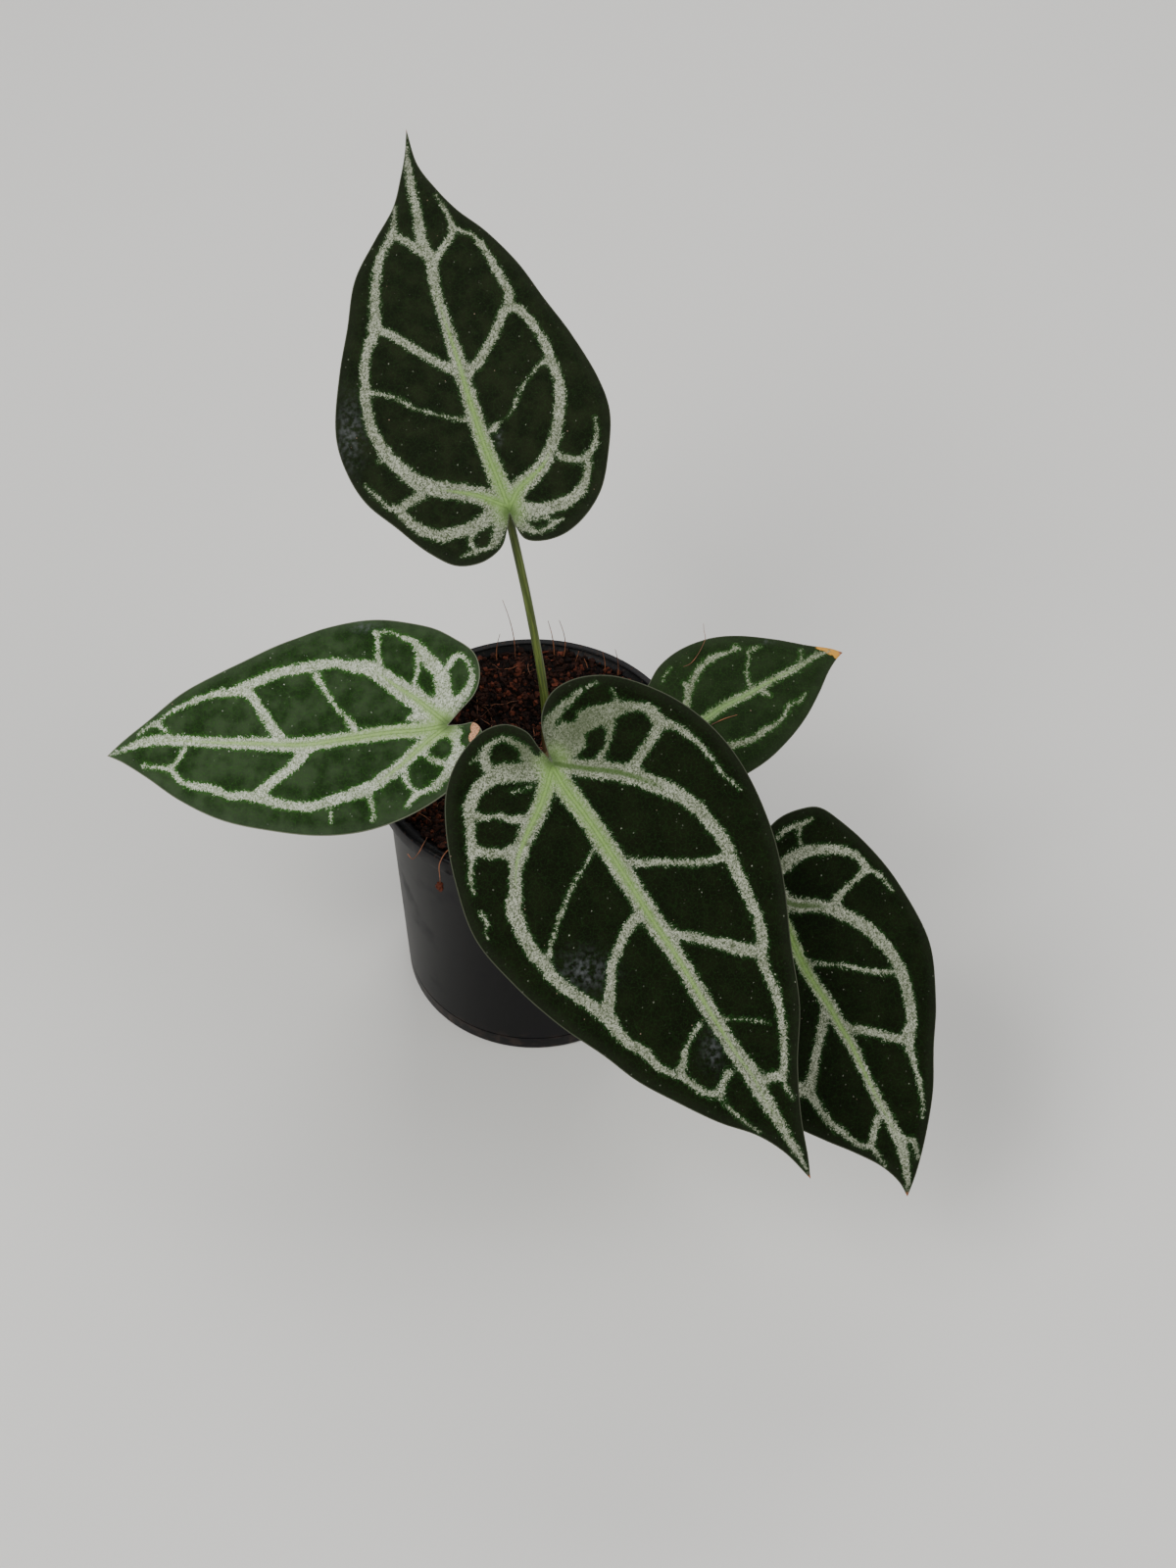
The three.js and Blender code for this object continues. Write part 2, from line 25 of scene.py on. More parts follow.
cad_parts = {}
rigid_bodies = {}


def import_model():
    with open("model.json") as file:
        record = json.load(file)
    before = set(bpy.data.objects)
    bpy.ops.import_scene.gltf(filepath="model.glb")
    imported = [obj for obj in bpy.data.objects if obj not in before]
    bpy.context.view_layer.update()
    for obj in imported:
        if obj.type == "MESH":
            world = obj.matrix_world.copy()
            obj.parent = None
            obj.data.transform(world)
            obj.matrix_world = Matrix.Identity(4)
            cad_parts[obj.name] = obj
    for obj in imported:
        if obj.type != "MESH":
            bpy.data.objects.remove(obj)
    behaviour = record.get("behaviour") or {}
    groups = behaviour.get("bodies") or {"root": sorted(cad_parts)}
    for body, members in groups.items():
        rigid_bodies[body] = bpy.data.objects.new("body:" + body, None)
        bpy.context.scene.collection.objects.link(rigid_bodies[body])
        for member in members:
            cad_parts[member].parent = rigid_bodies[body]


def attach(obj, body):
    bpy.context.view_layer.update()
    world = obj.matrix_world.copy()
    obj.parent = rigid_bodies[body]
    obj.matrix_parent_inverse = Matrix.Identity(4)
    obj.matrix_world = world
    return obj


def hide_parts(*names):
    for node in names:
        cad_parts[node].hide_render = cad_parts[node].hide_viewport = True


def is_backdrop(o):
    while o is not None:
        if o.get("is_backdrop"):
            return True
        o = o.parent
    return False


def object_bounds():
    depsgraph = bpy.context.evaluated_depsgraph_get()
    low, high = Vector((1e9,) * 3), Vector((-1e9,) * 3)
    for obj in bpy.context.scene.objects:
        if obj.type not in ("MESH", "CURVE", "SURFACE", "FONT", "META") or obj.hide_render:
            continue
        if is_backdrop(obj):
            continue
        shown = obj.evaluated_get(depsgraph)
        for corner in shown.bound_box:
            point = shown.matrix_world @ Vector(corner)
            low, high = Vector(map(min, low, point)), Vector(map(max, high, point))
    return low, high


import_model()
CAD_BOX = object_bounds()

LOG = logging.getLogger("scene")
MM = 0.001
# Millimetres that one pixel of the photograph covers at the pot.
PIXEL_MM = 0.37

Point2 = tuple[float, float]
Point3 = tuple[float, float, float]
Colour = tuple[float, float, float]
Rows = np.ndarray
# The middle line of a root, stalk or fibre, and its radius at each point.
Thread = tuple[Rows, Rows]
Node = bpy.types.Node
Socket = bpy.types.NodeSocket
Material = bpy.types.Material
Object = bpy.types.Object


class Slot(Enum):
    """The record's material slots."""

    POT = "pot_plastic"
    SOIL = "coir_soil"
    STEM = "stem_and_roots"
    STALK = "leaf_stalk"
    DARK_VELVET = "dark_velvet_blade"
    GREEN_VELVET = "green_velvet_blade"


class MarkKind(Enum):
    """What a mark on a blade is: a gap cuts the silver out; painted shade and painted glare are light painted
    on.
    """

    MEALY = "mealy"
    DRIED = "dried"
    YELLOWED = "yellowed"
    DIM = "dim"
    GAP = "gap"


def linear(channel: float) -> float:
    """A screen value from 0 to 255 as the linear value that a shader takes."""
    share = channel / 255
    return share / 12.92 if share <= 0.04045 else ((share + 0.055) / 1.055) ** 2.4


def spots(text: str) -> Rows:
    """The numbers of a path that is written as text, one spot a row."""
    return np.array([[float(number) for number in spot.split(",")] for spot in text.split()])


def glide(t: Rows, low: float, high: float, first: Rows, second: Rows) -> Rows:
    """Goes from the first place to the second as `t` goes from `low` to `high`."""
    return (high - t) / (high - low) * first + (t - low) / (high - low) * second


def smooth_curve(points: Sequence[Sequence[float]] | Rows, per_span: int = 24) -> Rows:
    """Draws a centripetal Catmull-Rom curve through the given points.

    Args:
        points: The points that the curve passes, with any number of values each.
        per_span: Samples from one point to the next.

    Returns:
        The samples, one a row, from the first point to the last.
    """
    rows = np.array(points, float)
    rows = np.vstack([2 * rows[0] - rows[1], rows, 2 * rows[-1] - rows[-2]])
    spans = []
    for i in range(len(rows) - 3):
        p0, p1, p2, p3 = rows[i : i + 4]
        chords = [max(float(np.linalg.norm(b - a)), 1e-6) ** 0.5 for a, b in ((p0, p1), (p1, p2), (p2, p3))]
        t0, t1, t2, t3 = np.cumsum([0.0, *chords])
        t = np.linspace(t1, t2, per_span, endpoint=False)[:, None]
        middle = glide(t, t1, t2, p1, p2)
        early = glide(t, t0, t2, glide(t, t0, t1, p0, p1), middle)
        late = glide(t, t1, t3, middle, glide(t, t2, t3, p2, p3))
        spans.append(glide(t, t1, t2, early, late))
    return np.vstack([*spans, rows[-2:-1]])


def run_length(curve: Rows) -> Rows:
    """Length from a curve's first point to each of its points."""
    return np.concatenate([[0.0], np.cumsum(np.linalg.norm(np.diff(curve, axis=0), axis=1))])


def evenly_spaced(curve: Rows, spacing: float, axes: int) -> Rows:
    """Samples a curve again at even steps of its length.

    Args:
        curve: The curve's points, one a row.
        spacing: The step wanted.
        axes: How many leading values of a row are its place, and count as length.

    Returns:
        The new samples, from the curve's first point to its last.
    """
    run = run_length(curve[:, :axes])
    wanted = np.linspace(0, run[-1], max(int(round(run[-1] / spacing)), 2) + 1)
    return np.stack([np.interp(wanted, run, curve[:, k]) for k in range(curve.shape[1])], axis=1)


def unit_rows(rows: Rows) -> Rows:
    """The same directions with a length of 1."""
    return rows / np.linalg.norm(rows, axis=1)[:, None]


def sideways_of(path: Rows) -> Rows:
    """Unit directions square to a flat path, one for each of its points."""
    heading = unit_rows(np.gradient(path, axis=0))
    return np.stack([-heading[:, 1], heading[:, 0]], axis=1)


def ramp(value: Rows, low: float, high: float) -> Rows:
    """A smooth step from 0 at `low` to 1 at `high`."""
    t = np.clip((value - low) / (high - low), 0, 1)
    return t * t * (3 - 2 * t)


def hump(gap: Rows, width: float) -> Rows:
    """A bump that is 1 where the gap is 0 and dies away over the width."""
    return np.exp(-((gap / width) ** 2))


def placed(name: str, data: bpy.types.ID) -> Object:
    """Puts an object into the scene.

    Args:
        name: Its name.
        data: Its mesh, curve, camera or light.

    Returns:
        The object, at the origin.
    """
    made = bpy.data.objects.new(name, data)
    bpy.context.scene.collection.objects.link(made)
    return made


@dataclass(frozen=True)
class PhotoCamera:
    """The camera of the photograph, found from the ellipse of the pot's rim."""

    image_width: int = 1200
    image_height: int = 1600
    pitch_deg: float = 50.0
    lens_mm: float = 70.0
    film_height_mm: float = 36.0
    position: Point3 = (21.46, -748.42, 994.67)

    def rays(self, pixels: Rows) -> Rows:
        """Directions from the camera through pixels of the photograph.

        Args:
            pixels: Rows of (x, y) in the photograph.

        Returns:
            Rows of unit directions.
        """
        pitch = math.radians(self.pitch_deg)
        forward = np.array([0, math.cos(pitch), -math.sin(pitch)])
        upward = np.array([0, math.sin(pitch), math.cos(pitch)])
        focal = self.image_height * self.lens_mm / self.film_height_mm
        across = (pixels[:, :1] - self.image_width / 2) / focal
        up = (self.image_height / 2 - pixels[:, 1:2]) / focal
        return unit_rows(forward + across * np.array([1.0, 0, 0]) + up * upward)

    def place(self) -> None:
        """Puts Blender's camera where the photograph was taken from."""
        data = bpy.data.cameras.new("photo_camera")
        data.lens = self.lens_mm
        data.sensor_fit = "VERTICAL"
        data.sensor_height = self.film_height_mm
        camera = placed("photo_camera", data)
        camera.location = [c * MM for c in self.position]
        camera.rotation_euler = (math.radians(90 - self.pitch_deg), 0, 0)
        bpy.context.scene.camera = camera


CAMERA = PhotoCamera()


class NodeCanvas:
    """A node tree, with short calls that add nodes and join them."""

    def __init__(self, tree: bpy.types.NodeTree) -> None:
        """Starts on an empty tree."""
        self.tree = tree

    def node(self, kind: str, inputs: dict[str, Any] | None = None, **settings: Any) -> Node:
        """Adds a node.

        Args:
            kind: The node's type.
            inputs: What to feed to its inputs, by name.
            **settings: The node's own properties.

        Returns:
            The node.
        """
        node = self.tree.nodes.new(kind)
        for name, value in settings.items():
            setattr(node, name, value)
        for name, value in (inputs or {}).items():
            self.feed(self.inlet_of(node, name), value)
        return node

    @staticmethod
    def inlet_of(node: Node, name: str) -> Socket:
        """The input of that name that the node's settings leave in use."""
        return next(socket for socket in node.inputs if socket.name == name and socket.enabled)

    @staticmethod
    def outlet_of(node: Node, name: str | None = None) -> Socket:
        """The output of that name that is in use, or the first one in use."""
        return next(s for s in node.outputs if s.enabled and (name is None or s.name == name))

    def feed(self, inlet: Socket, value: Any) -> None:
        """Gives an input its value.

        Args:
            inlet: The input.
            value: A socket or node to join to it, or a plain value to write there.
        """
        if isinstance(value, Node):
            value = self.outlet_of(value)
        if isinstance(value, Socket):
            self.tree.links.new(value, inlet)
        else:
            inlet.default_value = (*map(linear, value), 1.0) if inlet.type == "RGBA" else value

    def math(self, operation: str, *terms: Any) -> Socket:
        """Combines numbers with one operation.

        Args:
            operation: The name of the operation.
            *terms: Two or three numbers or sockets.

        Returns:
            The result.
        """
        node = self.node("ShaderNodeMath", operation=operation)
        for inlet, term in zip(node.inputs, terms):
            self.feed(inlet, term)
        return node.outputs[0]


class Shader(NodeCanvas):
    """A material's nodes."""

    def __init__(self, name: str) -> None:
        """Makes an empty material.

        Args:
            name: Its name.
        """
        self.material = bpy.data.materials.new(name)
        self.material.use_nodes = True
        self.material.node_tree.nodes.clear()
        super().__init__(self.material.node_tree)
        self.place = self.outlet_of(self.node("ShaderNodeTexCoord"), "Object")

    def value_of(self, attribute: str) -> Socket:
        """A number that is written on the mesh's corners."""
        return self.outlet_of(self.node("ShaderNodeAttribute", attribute_name=attribute), "Fac")

    def step(self, value: Any, low: Any, high: Any, to: Any = 1.0) -> Socket:
        """A smooth step from 0 where `value` is `low` to `to` at `high`, which may be the lower one."""
        inputs = {"Value": value, "From Min": low, "From Max": high, "To Min": 0.0, "To Max": to}
        return self.outlet_of(self.node("ShaderNodeMapRange", inputs, interpolation_type="SMOOTHSTEP"))

    def mix(self, share: Any, first: Any, second: Any) -> Socket:
        """Blends two colours, with that share of the second."""
        inputs = {"Factor": share, "A": first, "B": second}
        return self.outlet_of(self.node("ShaderNodeMix", inputs, data_type="RGBA"))

    def grain(self, size_mm: float, detail: float = 2.0, at: Any = None) -> Socket:
        """Soft random grain of about that size, from 0 to 1 round 0.5."""
        inputs = {"Vector": self.place if at is None else at, "Scale": 1 / (size_mm * MM), "Detail": detail}
        return self.outlet_of(self.node("ShaderNodeTexNoise", inputs), "Fac")

    def cells(self, size_mm: float, feature: str = "F1", output: str = "Distance") -> Socket:
        """Random cells of about that size, with distances as shares of a cell."""
        inputs = {"Vector": self.place, "Scale": 1 / (size_mm * MM)}
        return self.outlet_of(self.node("ShaderNodeTexVoronoi", inputs, feature=feature), output)

    def streaks(self, across: float, along_mm: float) -> Socket:
        """Grain drawn out along a stalk, read from its own `ring` and `along` values.

        Args:
            across: Width of a streak, as a share of the stalk's radius.
            along_mm: Length of a streak.

        Returns:
            The value from 0 to 1 round 0.5.
        """
        ring = self.node("ShaderNodeAttribute", attribute_name="ring").outputs["Vector"]
        run = self.math("MULTIPLY", self.value_of("along"), 1 / along_mm)
        shift = self.node("ShaderNodeCombineXYZ", {"Z": run})
        inputs = {"Vector": ring, "Location": shift, "Scale": (1 / across,) * 3}
        at = self.node("ShaderNodeMapping", inputs)
        return self.outlet_of(self.node("ShaderNodeTexNoise", {"Vector": at, "Scale": 1.0}), "Fac")

    def raised(self, height: Any, depth_mm: float, strength: float) -> Socket:
        """The normal of a fine relief that is `depth_mm` high where `height` is 1."""
        inputs = {"Height": height, "Distance": depth_mm * MM, "Strength": strength}
        return self.outlet_of(self.node("ShaderNodeBump", inputs))

    def close(
        self, colour: Any, roughness: Any, normal: Any = None, specular: float = 0.5, sheen: float = 0.0
    ) -> Material:
        """Ends the tree in one surface.

        Args:
            colour: Its colour.
            roughness: Its roughness.
            normal: Its fine relief, if it has any.
            specular: How much it shines.
            sheen: How much it glows at a slant, as velvet does.

        Returns:
            The material.
        """
        inputs = {"Base Color": colour, "Roughness": roughness, "Specular IOR Level": specular}
        relief = {} if normal is None else {"Normal": normal}
        shader = self.node("ShaderNodeBsdfPrincipled", {**inputs, **relief, "Sheen Weight": sheen})
        self.node("ShaderNodeOutputMaterial", {"Surface": shader})
        return self.material


class GeometryRecipe(NodeCanvas):
    """A geometry node tree with named inputs."""

    def __init__(self, name: str) -> None:
        """Makes a tree that takes and gives a geometry.

        Args:
            name: Its name.
        """
        super().__init__(bpy.data.node_groups.new(name, "GeometryNodeTree"))
        for way in ("INPUT", "OUTPUT"):
            self.tree.interface.new_socket("Geometry", in_out=way, socket_type="NodeSocketGeometry")
        self.entry = self.node("NodeGroupInput")
        self.exit = self.node("NodeGroupOutput")
        self.geometry = self.entry.outputs["Geometry"]

    def sizes(self, kinds: dict[str, str]) -> list[Socket]:
        """Adds named inputs.

        Args:
            kinds: What each takes, such as Float, Int, Collection or Material, by its name.

        Returns:
            The sockets that give them inside the tree.
        """
        for name, kind in kinds.items():
            self.tree.interface.new_socket(name, in_out="INPUT", socket_type=f"NodeSocket{kind}")
        return [self.entry.outputs[name] for name in kinds]

    def marked(self, shape: Any, name: str, value: Any, kind: str = "FLOAT", domain: str = "POINT") -> Node:
        """Writes a value on a shape's points or instances, under a name that shaders read."""
        inputs = {"Geometry": shape, "Name": name, "Value": value}
        return self.node("GeometryNodeStoreNamedAttribute", inputs, data_type=kind, domain=domain)

    def end(self, geometry: Any, finish: Any) -> None:
        """Realizes the instances, sets the material and closes the tree.

        Args:
            geometry: What the tree gives.
            finish: The socket of its material.
        """
        real = self.node("GeometryNodeRealizeInstances", {"Geometry": geometry})
        dressed = self.node("GeometryNodeSetMaterial", {"Geometry": real, "Material": finish})
        self.feed(self.exit.inputs[0], dressed)

    def grow(self, source: Object, name: str, values: dict[str, Any]) -> Object:
        """Runs the tree on an object and keeps the result as a plain mesh.

        Args:
            source: The object that it starts from, which is removed afterwards.
            name: Name of the new object.
            values: What each named input gets.

        Returns:
            The new object.
        """
        modifier = source.modifiers.new("recipe", "NODES")
        modifier.node_group = self.tree
        for item in self.tree.interface.items_tree:
            if item.in_out == "INPUT" and item.name in values:
                modifier[item.identifier] = values[item.name]
        source.update_tag()
        graph = bpy.context.evaluated_depsgraph_get()
        graph.update()
        grown = source.evaluated_get(graph)
        mesh = bpy.data.meshes.new_from_object(grown, preserve_all_data_layers=True, depsgraph=graph)
        mesh.name = name
        source.modifiers.remove(modifier)
        bpy.data.objects.remove(source)
        return placed(name, mesh)


@dataclass
class MeshDraft:
    """Corners and faces in millimetres, and the numbers written on the corners."""

    corners: Rows
    faces: list[tuple[int, ...]]
    finishes: Sequence[Material] = ()
    finish_of_face: Sequence[int] | None = None
    values: dict[str, Rows] = field(default_factory=dict)
    smooth: bool = True

    def make(self, name: str) -> Object:
        """Makes the Blender object.

        Args:
            name: Its name.

        Returns:
            The object, with its place in its mesh.
        """
        mesh = bpy.data.meshes.new(name)
        mesh.from_pydata((self.corners * MM).tolist(), [], self.faces)
        for finish in self.finishes:
            mesh.materials.append(finish)
        if self.finish_of_face is not None:
            mesh.polygons.foreach_set("material_index", np.array(self.finish_of_face, np.int32))
        for label, numbers in self.values.items():
            attribute = mesh.attributes.new(label, "FLOAT", "POINT")
            attribute.data.foreach_set("value", np.array(numbers, np.float32))
        mesh.polygons.foreach_set("use_smooth", np.full(len(mesh.polygons), self.smooth))
        mesh.update()
        return placed(name, mesh)


def hand_over(piece: Object, slot: Slot, *nodes: str) -> None:
    """Gives a finished piece its body, hides the model's nodes that it stands for, and reports it.

    Args:
        piece: The piece.
        slot: The slot that its finish belongs to; not used.
        *nodes: The model's nodes that it stands for.
    """
    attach(piece, "root")
    if nodes:
        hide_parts(*nodes)
    LOG.info("%s: %d faces", piece.name, len(piece.data.polygons))


@dataclass(frozen=True)
class BladeShape:
    """One blade's outline and the way that it arches, in millimetres.

    `right` and `left` are the margins from the stalk to the tip, as text of (across, along) in the
    blade's plane, seen on the upper face with the tip pointing away.
    """

    stalk_point: Point3
    tip: Point3
    facing: Point3
    half_width: float
    bow: float
    sway: float
    arch_across: float
    arch_along: float
    lobe_lift: float
    wave_height: float
    waves: float
    wave_phase: float
    right: str
    left: str
    edge_fall: float = 1.5
    sight_rounds: int = 30

    def axes(self) -> tuple[Rows, Rows, Rows, Rows, float]:
        """Sets up the blade's plane.

        Returns:
            Its origin, its directions across, along and up, and the blade's length.
        """
        origin = np.array(self.stalk_point)
        along = np.array(self.tip) - origin
        length = float(np.linalg.norm(along))
        along /= length
        up = np.array(self.facing, float)
        up -= (up @ along) * along
        up /= np.linalg.norm(up)
        return origin, np.cross(along, up), along, up, length

    def midrib_offset(self, t: Rows) -> Rows:
        """How far the midrib bows and sways sideways at a share of the blade's length."""
        inside = np.clip(t, 0, 1)
        return self.bow * 4 * inside * (1 - inside) + self.sway * np.sin(2 * np.pi * inside)

    def lift(self, flat: Rows) -> Rows:
        """Height of the blade's middle layer over its plane.

        Args:
            flat: Rows of (across, along).

        Returns:
            One height a row.
        """
        t = flat[:, 1] / self.axes()[4]
        across = flat[:, 0] - self.midrib_offset(t)
        inside = np.clip(t, 0, 1)
        s = np.abs(across) / self.half_width
        side = np.where(across > 0, 1, -1)
        halves = self.arch_across * (s - self.edge_fall * s * s) * (1 - 0.5 * inside)
        lengthwise = self.arch_along * 4 * inside * (1 - inside)
        lobes = self.lobe_lift * np.maximum(-t / 0.3, 0) ** 2
        wave = self.wave_height * np.sin(2 * np.pi * self.waves * t + self.wave_phase + 1.9 * side)
        return halves + lengthwise + lobes + wave * np.minimum(s, 1.2) ** 2

    def in_space(self, flat: Rows, over_middle: Rows) -> Rows:
        """Places of points that stand over or under the middle layer.

        Args:
            flat: Rows of (across, along).
            over_middle: How far each stands over the middle layer.

        Returns:
            Rows of (x, y, z).
        """
        origin, across, along, up, _ = self.axes()
        height = self.lift(flat) + over_middle
        return origin + flat[:, :1] * across + flat[:, 1:] * along + height[:, None] * up

    def from_photo(self, pixels: Rows) -> Rows:
        """Where the camera sees pixels of the photograph on the blade.

        Args:
            pixels: Rows of (x, y).

        Returns:
            Rows of (across, along).
        """
        origin, across, along, up, _ = self.axes()
        eye = np.array(CAMERA.position)
        directions = CAMERA.rays(pixels)
        height = np.zeros(len(pixels))
        for _ in range(self.sight_rounds):
            reach = ((origin - eye) @ up + height) / (directions @ up)
            seen = eye + directions * reach[:, None] - origin
            flat = np.stack([seen @ across, seen @ along], axis=1)
            height = 0.5 * height + 0.5 * self.lift(flat)
        return flat

    def margin(self, spacing: float) -> Rows:
        """Traces the outline.

        Args:
            spacing: The step from point to point.

        Returns:
            Its points, from the stalk up the right side and back down the left.
        """
        sides = (smooth_curve(spots(side)) for side in (self.right, self.left))
        right, left = (evenly_spaced(side, spacing, 2) for side in sides)
        return np.vstack([right, left[-2:0:-1]])


class Outline:
    """A blade's margin, which tells what lies inside it and how far from it."""

    def __init__(self, loop: Rows) -> None:
        """Takes the margin.

        Args:
            loop: Its points in order, as rows of (across, along).
        """
        self.loop = loop
        self.tree = KDTree(len(loop))
        for number, (x, y) in enumerate(loop):
            self.tree.insert((x, y, 0), number)
        self.tree.balance()

    def gaps(self, points: Rows) -> Rows:
        """How far each point lies from the nearest point of the margin."""
        return np.array([self.tree.find((x, y, 0))[2] for x, y in points], float)

    def well_inside(self, points: Rows, gap: float) -> Rows:
        """Keeps the points that lie inside the margin and far enough from it.

        Args:
            points: Rows of (across, along).
            gap: How far each has to be from the margin.

        Returns:
            The rows kept.
        """
        x, y = points[:, :1], points[:, 1:]
        x1, y1 = self.loop[:, 0], self.loop[:, 1]
        x2, y2 = np.roll(x1, -1), np.roll(y1, -1)
        rise = np.where(y2 == y1, 1e-12, y2 - y1)
        crosses = ((y1 > y) != (y2 > y)) & (x < (x2 - x1) * (y - y1) / rise + x1)
        points = points[crosses.sum(axis=1) % 2 == 1]
        return points[self.gaps(points) > gap]


@dataclass
class PointSieve:
    """Keeps points of a plane that stand far enough from the ones kept before."""

    widest_gap: float
    cells: dict[tuple[int, int], list[Point2]] = field(default_factory=dict)
    kept: list[Point2] = field(default_factory=list)

    def offer(self, points: Rows, gap: float) -> None:
        """Takes the points that keep a gap to all that were taken before.

        Args:
            points: Rows of (across, along).
            gap: The gap, up to the widest one.
        """
        for x, y in points.tolist():
            i, j = int(x // self.widest_gap), int(y // self.widest_gap)
            around = ((i + di, j + dj) for di in (-1, 0, 1) for dj in (-1, 0, 1))
            near = (q for key in around for q in self.cells.get(key, ()))
            if all((x - qx) ** 2 + (y - qy) ** 2 >= gap * gap for qx, qy in near):
                self.cells.setdefault((i, j), []).append((x, y))
                self.kept.append((x, y))


@dataclass
class VeinNet:
    """All veins of one blade, as rows of discs in its plane."""

    places: Rows
    half_widths: Rows
    runs: Rows
    lime: Rows
    on_rib: Rows
    starts: Rows
    fillet: float = 0.45
    broad: float = 0.8
    batch: int = 1500

    def gaps(self, points: Rows) -> dict[str, Rows]:
        """Measures points of the plane against the veins.

        Args:
            points: Rows of (across, along).

        Returns:
            `silver_edge`: distance to the nearest band's edge, below 0 inside it, with the corners
            where bands meet filled. `vein_run`: place along that band. `broad_edge` and `spine`:
            distance to the nearest broad band's edge and middle. `rib_gap` and `rib_lime`: distance to
            the nearest main rib and how lime it is there.
        """
        broad = self.half_widths > self.broad
        parts = []
        for start in range(0, len(points), self.batch):
            part = points[start : start + self.batch]
            away = np.hypot(*(part[:, None, k] - self.places[None, :, k] for k in (0, 1)))
            edge = away - self.half_widths
            rib = np.where(self.on_rib, away, np.inf)
            of_vein = np.minimum.reduceat(edge, self.starts, axis=1)
            least = of_vein.min(axis=1)
            closeness = np.exp((least[:, None] - of_vein) / self.fillet).sum(axis=1)
            measures = (
                least - self.fillet * np.log(closeness),
                self.runs[edge.argmin(axis=1)],
                *(np.where(broad, gap, np.inf).min(axis=1) for gap in (edge, away)),
                rib.min(axis=1),
                self.lime[rib.argmin(axis=1)],
            )
            parts.append(measures)
        names = ("silver_edge", "vein_run", "broad_edge", "spine", "rib_gap", "rib_lime")
        return dict(zip(names, map(np.concatenate, zip(*parts))))


